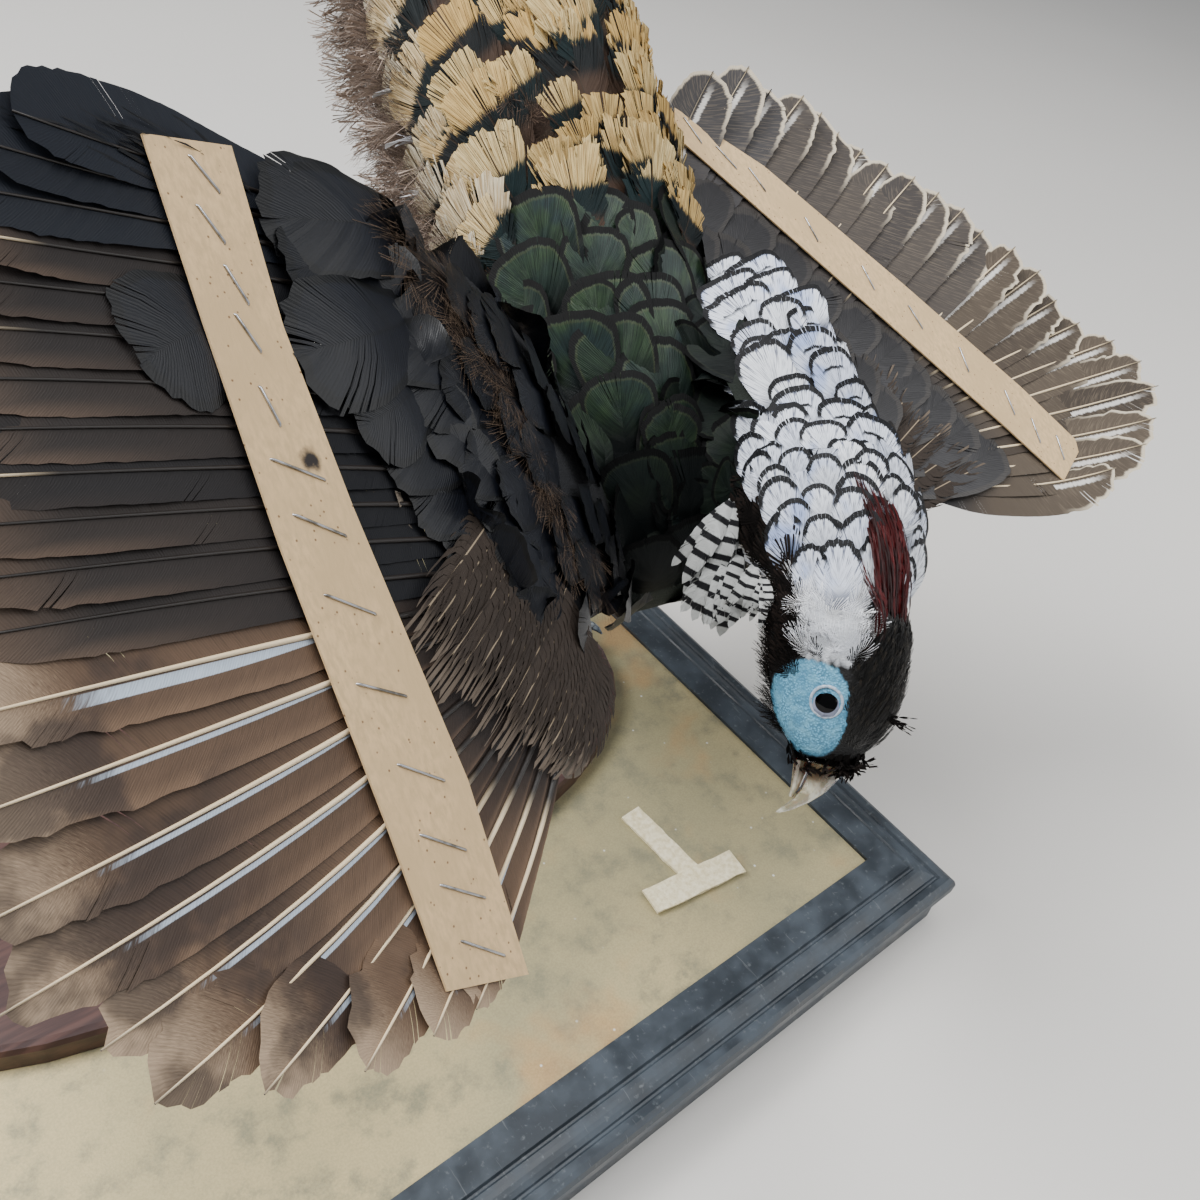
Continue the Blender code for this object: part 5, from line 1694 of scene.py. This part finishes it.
def make_coverts(hand, colours, coat):
    """Rows of coverts over and under the roots of the flight feathers, and small ones on the arm."""
    near = hand == "R"
    tone = colours.covert if near else linear(44, 43, 45)
    fringe = linear(4, 5, 7) if near else linear(58, 55, 53)
    top = Plumage("broad", 22, 3, coat.seed + 40, fray=0.06, split=0.8, rare=0.12, worn=0.10)
    brown = Plumage("long", 16, 3, coat.seed + 41, fray=0.35, split=0.9, loose=0.35, shaft_end=0.75, comb=0.9)
    under = Plumage("scale", 9, 2, coat.seed + 42, fray=0.2, split=0.5)
    draw = np.random.default_rng(coat.seed + 43)
    for kind, (count, roots, bends, tips, height, half) in COVERTS[hand].items():
        group = (count, roots, bends, tips)
        for k in range(count):
            over, below = (brown if kind == "hand" else top, 1, 1), (under, -0.8, -1)
            for target, side_of, flip in (over, below) if k < count - 2 else (over,):
                lift = height * MM * side_of
                reach = draw.uniform(0.88, 1.08)
                spine, side, normal, _, _ = fan_feather(hand, group, k, reach, lift, 0.06 * flip,
                                                        -0.01 * flip, flip)
                some = np.linspace(0, FLIGHT_STEPS - 1, 7).round().astype(int)
                spine, side, normal = spine[some], side[some], normal[some]
                wide = half * MM * draw.uniform(0.85, 1.15)
                target.add(spine, side, normal, wide, skin().patch_at(spine[0]))
    for root, tip, half, heights in LONE_COVERTS[hand]:
        lay_feather(top, hand, root, tip, half, heights, bow=draw.uniform(-2, 2))
    arm = (f"wing_{hand}_arm",)
    size = 1.25 if near else 1.0
    grow(top, arm, 0.0085 * size, 0.021 * size, 0.0165 * size, 0.0035, arm_flow(hand), 44,
         arm_side(hand, 1), 1.25, wild=0.22, steps=7)
    grow(under, arm, 0.0105, 0.024, 0.018, 0.0030, arm_flow(hand), 45, arm_side(hand, -1), 1.3, steps=7,
         stiff=1.0)
    dark = plain_paint(f"covert_{hand}", tone, shade(tone, 0.8), 0.42, 0.6, shade(tone, 0.5), 0.0, fringe,
                       0.55, 0.42)
    coat_piece(f"wing_{hand}_coverts", top, dark, camber=4.0, ruffle=0.0003, wave=0.0005, sheen=0.15)
    warm = plain_paint(f"hand_covert_{hand}", linear(50, 42, 36), linear(104, 92, 80), 0.7, 0.8,
                       linear(150, 134, 112))
    coat_piece(f"wing_{hand}_hand_coverts", brown, warm, camber=3.0, ruffle=0.0022)
    grey = plain_paint(f"under_covert_{hand}", linear(78, 70, 62), linear(118, 108, 96), 0.7, 0.7,
                       linear(180, 170, 156))
    coat_piece(f"wing_{hand}_under_coverts", under, grey, camber=4.0, ruffle=0.0010)
    if near:
        make_loose_barbs(coat)


def make_loose_barbs(coat):
    """Barbs splayed from the hindmost tertial, and brown scapular fluff over the wing's root."""
    draw = np.random.default_rng(coat.seed + 46)
    barbs = Plumage("long", 3, 1, coat.seed + 47, fray=0.2, split=0.5, loose=0.5)
    for _ in range(26):
        v = draw.uniform(66, 104)
        reach = draw.uniform(16, 34)
        root = (113 + draw.uniform(-2, 3), v)
        tip = (119 + draw.uniform(-2, 8), v + reach)
        high = draw.uniform(1.0, 4.0)
        lay_feather(barbs, "R", root, tip, draw.uniform(0.35, 0.8), (0.6, high * 0.6, high),
                    bow=draw.uniform(0, 3))
    ink = plain_paint("loose_barb", linear(12, 14, 18), linear(22, 24, 28), 0.5, 0.7)
    coat_piece("wing_R_loose_barbs", barbs, ink, camber=0.0, ruffle=0.0003)
    fluff = Plumage("leaf", 26, 2, coat.seed + 48, **DOWN)
    for _ in range(90):
        share = draw.random()
        u = 108 - 96 * share + draw.normal(0, 3)
        v = np.interp(share, (0, 0.15, 0.5, 1), (28, 14, -2, -12)) + draw.normal(0, 4)
        turn = draw.uniform(-1.2, 0.6)
        length = draw.uniform(14, 26)
        tip = (u + length * math.sin(turn), v + length * math.cos(turn))
        lay_feather(fluff, "R", (u, v), tip, draw.uniform(4, 8), (2.0, 6.0, draw.uniform(5, 11)))
    down = plain_paint("scapular_down", linear(46, 36, 30), linear(104, 86, 70), 0.85, 0.55)
    coat_piece("wing_R_scapular_down", fluff, down, camber=0.0, ruffle=0.004)


class PHEASANT_OT_wings(PheasantOperator, bpy.types.Operator):
    """Flight feathers and coverts of both wings"""

    bl_idname = "pheasant.wings"
    bl_label = "Wings"

    def make(self, coat, colours, mount):
        for hand in "RL":
            make_flight(hand, colours, coat)
            make_coverts(hand, colours, coat)


# ---------------------------------------------------------------- tail
def tail_path(length, count, drop=0.0, out=0.0, shift=0.0, rise=0.0):
    """Places down a tail feather that arches over; out leans it sideways."""
    place = TAIL_ROOT - DORSAL * (drop - rise) + BIRD_RIGHT * shift
    heading = Vector((REARWARD.x, REARWARD.y, 0)).normalized()
    step = length / (count - 1)
    points = []
    for k in range(count):
        points.append(np.array(place))
        share = k * step / TAIL_LENGTH
        pitch = math.radians(TAIL_PITCH_START + (TAIL_PITCH_END - TAIL_PITCH_START) * share)
        way = heading * math.cos(pitch) + Vector((0, 0, math.sin(pitch))) + BIRD_RIGHT * out
        place = place + way * step
    return np.array(points)


def tail_paint(name, pale, dark_bar, pitch, fine):
    """Silvery vane crossed by dark bars with fine wandering lines between them."""
    paint = Paint(name, 0.5)
    across, along = paint.map_parts("Vane")
    off = abs(across - 0.5)
    drift = paint.grain(6.0, 3.0)
    down = along * pitch + off * -0.8
    down = down + drift * 0.25
    bars = paint.math("SINE", down * (2 * math.pi)).between(0.62, 0.78)
    wander = down * 4.0 + drift * 2.2
    wander = wander + off * 5.0
    lines = paint.math("SINE", wander * (2 * math.pi)).between(0.80, 0.92)
    marks = paint.math("MAXIMUM", bars, lines * fine)
    finish_vane(paint, paint.mix(marks, pale, dark_bar), 0.8, 0.4, 0.75, linear(196, 180, 150), 0.02)
    return paint


class PHEASANT_OT_tail(PheasantOperator, bpy.types.Operator):
    """Long barred tail, its side feathers and its coverts"""

    bl_idname = "pheasant.tail"
    bl_label = "Tail"

    def make(self, coat, colours, mount):
        centre = Plumage("long", 90, 4, coat.seed + 50, fray=0.05, split=0.12, lag=1.02, shaft_end=0.99)
        for k, (sign, share) in enumerate(((1, 0.985), (-1, 1.0))):
            points = tail_path(TAIL_LENGTH * share, 24, 0.0015 * k, 0.0, sign * 0.0035)
            sides, normals = blade_axes(points, lean=-0.10 * sign)
            centre.add(points, sides, normals, 0.0235, (0.02 + 0.49 * k, 0.46))
        made = link(centre.mesh("tail_centre_vanes", camber=9.0, patch=None), "tail_centre_vanes")
        dress(made,
              tail_paint("tail_centre_vane", linear(206, 206, 202), linear(22, 22, 24), TAIL_LENGTH / 0.030,
                         0.85))
        settle(made, ("tail_centre",))
        side = Plumage("long", 52, 3, coat.seed + 51, fray=0.07, split=0.2, lag=1.03, shaft_end=0.985)
        lengths = (0.600, 0.520, 0.430, 0.350, 0.290, 0.230)
        nodes = [f"tail_side_{hand}{step}" for hand in "RL" for step in (1, 2, 3)]
        for j, sign in enumerate((1, -1)):
            for k, length in enumerate(lengths):
                step = 1 + k / 2
                lean = sign * (0.010 + 0.030 * step)
                points = tail_path(length, 16, 0.0010 + 0.0045 * step, lean, sign * 0.020)
                sides, normals = blade_axes(points, lean=-0.05 * sign)
                number = j * len(lengths) + k
                side.add(points, sides, normals, 0.0150, ((number + 0.04) / 12, 0.92 / 12), zone=k / 5)
        made = link(side.mesh("tail_side_vanes", camber=4.0, patch=None), "tail_side_vanes")
        dress(made, tail_paint("tail_side_vane", linear(150, 138, 124), linear(34, 28, 26), 0.4 / 0.024, 0.6))
        settle(made, nodes)
        self.add_coverts(coat)

    def add_coverts(self, coat):
        draw = np.random.default_rng(coat.seed + 52)
        surface = skin()
        upper = Plumage("long", 26, 2, coat.seed + 53, fray=0.12, split=0.5, shaft_end=0.95)
        for _ in range(16):
            share = draw.uniform(-1, 1)
            length = draw.uniform(0.100, 0.225)
            points = tail_path(length, 10, 0.0, 0.05 * share, 0.020 * share, 0.012 + 0.012 * (1 - share**2))
            points = points - np.array(REARWARD) * 0.03
            sides, normals = blade_axes(points, lean=-0.35 * share)
            upper.add(points, sides, normals, draw.uniform(0.005, 0.0075), surface.patch_at(points[0]))
        paint = plain_paint("red_covert", linear(206, 198, 184), linear(196, 66, 26), 0.5, 0.42,
                            linear(70, 30, 20))
        made = coat_piece("tail_upper_coverts", upper, paint, camber=8.0, ruffle=0.001)
        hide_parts("tail_coverts_upper")
        lower = Plumage("leaf", 14, 2, coat.seed + 54, fray=0.2, split=0.6)
        for _ in range(22):
            share = draw.uniform(-1, 1)
            length = draw.uniform(0.060, 0.105)
            points = tail_path(length, 8, 0.020 + 0.008 * (1 - share**2), 0.06 * share, 0.018 * share)
            points = points - np.array(REARWARD) * draw.uniform(0.0, 0.035)
            sides, normals = blade_axes(points, lean=0.4 * share)
            lower.add(points, sides, normals, draw.uniform(0.007, 0.010), surface.patch_at(points[0]))
        green = plain_paint("under_tail_vane", linear(20, 30, 28), linear(30, 52, 46), 0.4, 0.7,
                            edge=linear(9, 10, 10))
        made = coat_piece("tail_under_coverts", lower, green, camber=5.0, ruffle=0.001)
        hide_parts("tail_coverts_under")


# ---------------------------------------------------------------- legs
class PHEASANT_OT_legs(PheasantOperator, bpy.types.Operator):
    """Thigh feathers, and scales on shanks and toes"""

    bl_idname = "pheasant.legs"
    bl_label = "Legs"

    def make(self, coat, colours, mount):
        thighs = Plumage("leaf", 8, 2, coat.seed + 60, fray=0.35, split=0.9)
        grow(thighs, ("thigh_R", "thigh_L"), 0.0062, 0.022, 0.012, 0.0032, thigh_flow, 61, None, 1.3,
             wild=0.2)
        barred = plain_paint("thigh_vane", linear(196, 188, 176), linear(120, 104, 88), 0.8, 0.72, dark=0.7)
        coat_piece("coat_thighs", thighs, barred, camber=6.0, ruffle=0.0015)
        scales = leg_paint()
        for hand in "RL":
            for node in ("shank", "foot"):
                dress(frame["nodes"][f"{node}_{hand}"], scales)


def leg_paint():
    """Blue-grey scutes with dark seams and paler middles, a painted highlight on each domed scute."""
    paint = Paint("leg_scales", 0.48)
    place = paint.place((1.0, 1.0, 0.62))
    scute = paint.cells(420, place)
    seam = paint.cells(420, place, "DISTANCE_TO_EDGE")
    tone = paint.mix(paint.noise(160, 3).between(0.35, 0.7), linear(92, 106, 120), linear(132, 140, 144))
    tone = paint.mix(seam.between(0.10, 0.02), tone, linear(62, 62, 62))
    # Painted highlight: each scute paler towards its middle, as if domed and lit.
    tone = paint.mix(scute.between(0.10, 0.5, 0.25, 0.0), tone, linear(186, 190, 190))
    paint.colour(tone).bump(seam, 0.7, 0.0005)
    return paint


# ---------------------------------------------------------------- cards and staples
# Clamp strips: inner and outer edges as (rearward, outward) in millimetres.
STRIPS = {
    "R": (
        ((121, 70), (81, 73.5), (40, 72), (-24, 67), (-69, 69.5)),
        ((121, 92), (82, 93.5), (36, 94.5), (-24, 93), (-60, 93)),
    ),
    "L": (
        ((121, 77), (84, 76), (14, 74), (-50, 72), (-84, 70)),
        ((127, 88), (87, 95.5), (14, 96), (-50, 95), (-86, 92)),
    ),
}
CARD_TOP = 0.0025
# Staples on each strip: how many, then shares of the strip, and slants in degrees and lengths there.
STAPLES = {
    "R": (13, (0.0, 0.38, 0.42, 1.0), (58, 80, 32, 40), (0.66, 0.66, 1.0, 1.0)),
    "L": (10, (0.0, 0.3, 0.6, 1.0), (82, 66, 54, 40), (0.9, 0.8, 0.8, 0.8)),
}


def card_paint(mount, hand):
    """Kraft card with fibres, specks, soft patches of painted shade and one stain."""
    paint = Paint(f"card_{hand}", 0.82)
    fibres = paint.noise(900, 5, stretch=(1.0, 0.4, 0.4))
    tone = paint.mix(fibres.between(0.3, 0.7), shade(mount.card, 0.86), shade(mount.card, 1.10))
    # Soft darker patches: painted shade, as of shallow creases.
    tone = paint.mix(paint.noise(45, 3).between(0.4, 0.7), tone, shade(mount.card, 0.90))
    tone = paint.mix(paint.cells(380).between(0.14, 0.06), tone, linear(120, 92, 62))
    if hand == "R":
        stain = wing_point("R", 0.052, 0.0790, CARD_TOP)
        off = paint.node("VectorMath", {0: paint.place(), 1: stain}, "Value", operation="DISTANCE")
        edge = off + paint.noise(500, 3) * 0.003
        tone = paint.mix(edge.between(0.0050, 0.0026), tone, linear(34, 28, 26))
    paint.colour(tone).bump(fibres, 0.35, 0.0003)
    return paint


def staple_shape(mount):
    """One staple: a wire bent down at both ends, its crown along X with its middle at the origin."""
    half = mount.staple_length / 2
    leg = 0.0022
    bpy.ops.mesh.primitive_circle_add(
        vertices=8, radius=mount.staple_wire / 2, fill_type="NGON", location=(-half, 0, -leg)
    )
    made = bpy.context.view_layer.objects.active
    bpy.ops.object.mode_set(mode="EDIT")
    bpy.ops.mesh.select_all(action="SELECT")
    moves = ((0, 0, leg), (half * 0.08, 0, 0.0003), (half * 1.84, 0, 0), (half * 0.08, 0, -0.0003),
             (0, 0, -leg))
    turns = (-30, -60, 0, -60, -30)
    place = Vector((-half, 0, -leg))
    for move, turn in zip(moves, turns):
        bpy.ops.mesh.extrude_region_move(TRANSFORM_OT_translate={"value": move})
        place = place + Vector(move)
        if turn:
            bpy.ops.transform.rotate(
                value=math.radians(turn), orient_axis="Y", orient_type="GLOBAL", center_override=place
            )
    bpy.ops.mesh.select_all(action="SELECT")
    bpy.ops.mesh.normals_make_consistent(inside=False)
    bpy.ops.object.mode_set(mode="OBJECT")
    bpy.ops.object.transform_apply(location=True, rotation=True, scale=True)
    made.data.shade_smooth()
    return made


def make_staples(hand, mount):
    """Wire staples pressed into the card in a row."""
    count, shares, slants, lengths = STAPLES[hand]
    inner, outer = STRIPS[hand]
    _, rear, out, up = wing_axes(hand)
    draw = np.random.default_rng(5 if hand == "R" else 6)
    pattern = staple_shape(mount)
    copies = []
    for k in range(count):
        share = (k + 0.55) / (count + 0.2)
        (u1, v1), (u2, v2) = line_at(inner, share), line_at(outer, share)
        middle = np.array([(u1 + u2) / 2, (v1 + v2) / 2]) + draw.normal(0, 0.0009, 2)
        slant = math.radians(np.interp(share, shares, slants) + draw.normal(0, 4))
        way = (Vector(rear) * math.sin(slant) + Vector(out) * math.cos(slant)).normalized()
        side = up.cross(way).normalized()
        turn = Matrix((way, side, up)).transposed().to_4x4()
        copy = link(pattern.data.copy(), f"staple_{hand}_{k}")
        size = Matrix.Diagonal((np.interp(share, shares, lengths), 1.0, 1.0, 1.0))
        copy.data.transform(Matrix.Translation(wing_point(hand, *middle, CARD_TOP)) @ turn @ size)
        copies.append(copy)
    bpy.data.objects.remove(pattern)
    made = join(copies, f"staples_{hand}")
    paint = Paint(f"staple_{hand}", 0.35)
    paint.colour(paint.mix(paint.noise(300, 3).between(0.45, 0.7), linear(176, 178, 182),
                           linear(112, 110, 106)))
    paint.set(Metallic=0.9)
    dress(made, paint)
    settle(made)


class PHEASANT_OT_clamps(PheasantOperator, bpy.types.Operator):
    """Card strips and their staples"""

    bl_idname = "pheasant.clamps"
    bl_label = "Card clamps"

    def make(self, coat, colours, mount):
        for hand in "RL":
            paint = card_paint(mount, hand)
            for layer in ("top", "under"):
                dress(frame["nodes"][f"card_{hand}_{layer}"], paint)
            make_staples(hand, mount)


# ---------------------------------------------------------------- base
def lacquer_paint(mount):
    """Black lacquer under grey dust and grime, with lighter scratches."""
    paint = Paint("base_lacquer", 0.42)
    dust = paint.noise(55, 5)
    grime = paint.noise(420, 4)
    tone = paint.mix(dust.between(0.35, 0.70), shade(mount.lacquer, 0.45), mount.lacquer)
    tone = paint.mix(grime.between(0.58, 0.75, 0.0, 0.6), tone, linear(104, 110, 114))
    scratches = paint.noise(90, 3, stretch=(8.0, 0.6, 1.0))
    tone = paint.mix(scratches.between(0.66, 0.72, 0.0, 0.35), tone, linear(120, 124, 126))
    paint.colour(tone)
    paint.rough(paint.mix(dust.between(0.35, 0.7), (0.34, 0.34, 0.34), (0.62, 0.62, 0.62)))
    paint.bump(grime, 0.15, 0.0003)
    return paint


def gold_paint(mount):
    """Gold paper gone greenish and buff, stained, dusty and flecked with white."""
    paint = Paint("gold_panel", 0.55)
    cloud = paint.noise(9, 5)
    tone = paint.mix(cloud.between(0.35, 0.68), mount.gold, linear(166, 158, 122))
    fine = paint.noise(70, 6, rough=0.65)
    tone = paint.mix(fine.between(0.45, 0.72), tone, linear(142, 138, 112))
    tone = paint.mix(paint.noise(16, 4).between(0.58, 0.72, 0.0, 0.55), tone, linear(196, 150, 96))
    weave = paint.noise(1200, 2)
    tone = paint.mix(weave.between(0.3, 0.7), paint.mix(1.0, tone, [0.86] * 3, "MULTIPLY"), tone)
    specks = paint.cells(110)
    rare = paint.noise(14, 2).between(0.50, 0.64)
    tone = paint.mix(specks.between(0.085, 0.03) * rare, tone, linear(226, 228, 224))
    paint.colour(tone)
    paint.set(Metallic=0.25)
    paint.bump(fine + weave, 0.15, 0.0003)
    return paint


def wood_paint(name, dark, light, roughness):
    paint = Paint(name, roughness)
    grain = paint.noise(38, 5, stretch=(0.6, 9.0, 6.0))
    tone = paint.mix(grain.between(0.35, 0.68), dark, light)
    paint.colour(tone).bump(grain, 0.2, 0.0004)
    return paint


# Bars of the scrap on the panel: ends and half width, then their thickness and the gap under them.
SCRAP_BARS = (
    ((0.1275, -0.1012), (0.1300, -0.1405), 0.0052),
    ((0.1040, -0.1425), (0.1512, -0.1480), 0.0060),
)
SCRAP_THICK, SCRAP_GAP = 0.0013, 0.0002


def make_scrap():
    """A torn scrap of pale card left on the panel: a short stem across a bar."""
    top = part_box("base_panel")[1].z + SCRAP_GAP
    bars = []
    for number, (one, two, half) in enumerate(SCRAP_BARS):
        one, two = Vector((*one, 0)), Vector((*two, 0))
        away = two - one
        height = top + (SCRAP_THICK + SCRAP_GAP / 2) * number + SCRAP_THICK / 2
        bpy.ops.mesh.primitive_cube_add(size=1.0, location=(0, 0, 0))
        bar = bpy.context.view_layer.objects.active
        bar.dimensions = (away.length, half * 2, SCRAP_THICK)
        bpy.ops.object.transform_apply(location=True, rotation=True, scale=True)
        edit(bar, bpy.ops.mesh.subdivide, number_cuts=9)
        torn = bpy.data.textures.new(f"torn_{number}", "CLOUDS")
        torn.noise_scale = 0.006
        rough = bar.modifiers.new("torn", "DISPLACE")
        rough.texture = torn
        rough.strength = 0.0016
        rough.direction = "Y"
        apply_all(bar)
        turn = Matrix.Rotation(math.atan2(away.y, away.x), 4, "Z")
        bar.data.transform(Matrix.Translation((one + two) / 2 + Vector((0, 0, height))) @ turn)
        bars.append(bar)
    paint = Paint("card_scrap", 0.8)
    fibre = paint.noise(500, 4)
    paint.colour(paint.mix(fibre.between(0.3, 0.7), linear(214, 200, 158), linear(240, 230, 200)))
    paint.bump(fibre, 0.5, 0.0004)
    made = join(bars, "card_scrap")
    dress(made, paint)
    settle(made)


class PHEASANT_OT_base(PheasantOperator, bpy.types.Operator):
    """Moulded base, gold panel, plank and the scrap on it"""

    bl_idname = "pheasant.base"
    bl_label = "Base"

    def make(self, coat, colours, mount):
        nodes = frame["nodes"]
        dress(nodes["base_frame"], lacquer_paint(mount))
        dress(nodes["base_panel"], gold_paint(mount))
        dress(nodes["base_plank"], wood_paint("plank", mount.plank, linear(84, 56, 50), 0.4))
        dress(nodes["base_bottom"],
              wood_paint("bottom_board", linear(120, 88, 58), linear(160, 124, 86), 0.75))
        make_scrap()


# ---------------------------------------------------------------- stage
CAMERA_AT = Vector((-0.1302, -0.2920, 0.4340))
CAMERA_RIGHT = Vector((0.76766, -0.61902, 0.16585))
CAMERA_UP = Vector((0.32200, 0.59633, 0.73533))
CAMERA_LENS = 33.15
# Soft boxes: name, place, aim, side and power.
LIGHTS = (
    ("key", (-1.1, 0.7, 1.9), (0.05, -0.05, 0.2), 1.1, 72.0),
    ("fill", (1.3, -1.2, 1.3), (0.05, -0.05, 0.2), 1.6, 16.0),
    ("top", (0.1, -0.3, 2.2), (0.05, -0.05, 0.2), 1.4, 34.0),
)


class PHEASANT_OT_stage(PheasantOperator, bpy.types.Operator):
    """Pale floor, soft boxes and camera"""

    bl_idname = "pheasant.stage"
    bl_label = "Stage"

    def make(self, coat, colours, mount):
        bpy.ops.mesh.primitive_plane_add(size=14.0, location=(0, 0, 0))
        floor = bpy.context.view_layer.objects.active
        floor.name = "floor"
        paint = Paint("floor", 0.7)
        paint.colour(paint.mix(paint.noise(2.0, 2), linear(214, 211, 206), linear(222, 219, 214)))
        dress(floor, paint)
        world = bpy.data.worlds.new("studio")
        world.use_nodes = True
        sky = world.node_tree.nodes["Background"].inputs
        sky["Color"].default_value = (0.80, 0.84, 0.90, 1)
        sky["Strength"].default_value = 0.34
        bpy.context.scene.world = world
        for name, place, aim, size, power in LIGHTS:
            data = bpy.data.lights.new(name, "AREA")
            data.shape = "SQUARE"
            data.size = size
            data.energy = power
            light = link(data, name)
            light.location = place
            light.rotation_euler = (Vector(aim) - Vector(place)).to_track_quat("-Z", "Y").to_euler()
        data = bpy.data.cameras.new("camera")
        data.lens = CAMERA_LENS
        data.sensor_width = 36.0
        data.clip_start = 0.01
        camera = link(data, "camera")
        right = CAMERA_RIGHT.normalized()
        back = right.cross(CAMERA_UP).normalized()
        up = back.cross(right)
        turn = Matrix((right, up, back)).transposed().to_4x4()
        camera.matrix_world = Matrix.Translation(CAMERA_AT) @ turn
        bpy.context.scene.camera = camera


class PHEASANT_PT_panel(bpy.types.Panel):
    """Lists the pheasant's settings and operators"""

    bl_idname = "PHEASANT_PT_panel"
    bl_label = "Mounted Pheasant"
    bl_space_type = "VIEW_3D"
    bl_region_type = "UI"
    bl_category = "Pheasant"

    def draw(self, context):
        scene = context.scene
        for group in (scene.pheasant_coat, scene.pheasant_colours, scene.pheasant_mount):
            box = self.layout.box()
            for key in group.__annotations__:
                box.prop(group, key)
        for operator in OPERATORS:
            self.layout.operator(operator.bl_idname)


GROUPS = {"pheasant_coat": PheasantCoat, "pheasant_colours": PheasantColours, "pheasant_mount": PheasantMount}
OPERATORS = (
    PHEASANT_OT_base,
    PHEASANT_OT_skin,
    PHEASANT_OT_trunk_coat,
    PHEASANT_OT_head_coat,
    PHEASANT_OT_wings,
    PHEASANT_OT_tail,
    PHEASANT_OT_legs,
    PHEASANT_OT_clamps,
    PHEASANT_OT_stage,
)


def register():
    for group in (*GROUPS.values(), *OPERATORS, PHEASANT_PT_panel):
        bpy.utils.register_class(group)
    for key, group in GROUPS.items():
        setattr(bpy.types.Scene, key, PointerProperty(type=group))


def unregister():
    for key in GROUPS:
        delattr(bpy.types.Scene, key)
    for group in (PHEASANT_PT_panel, *reversed(OPERATORS), *GROUPS.values()):
        bpy.utils.unregister_class(group)


def main():
    register()
    for operator in OPERATORS:
        _, name = operator.bl_idname.split(".")
        getattr(bpy.ops.pheasant, name)()


if __name__ == "__main__":
    main()
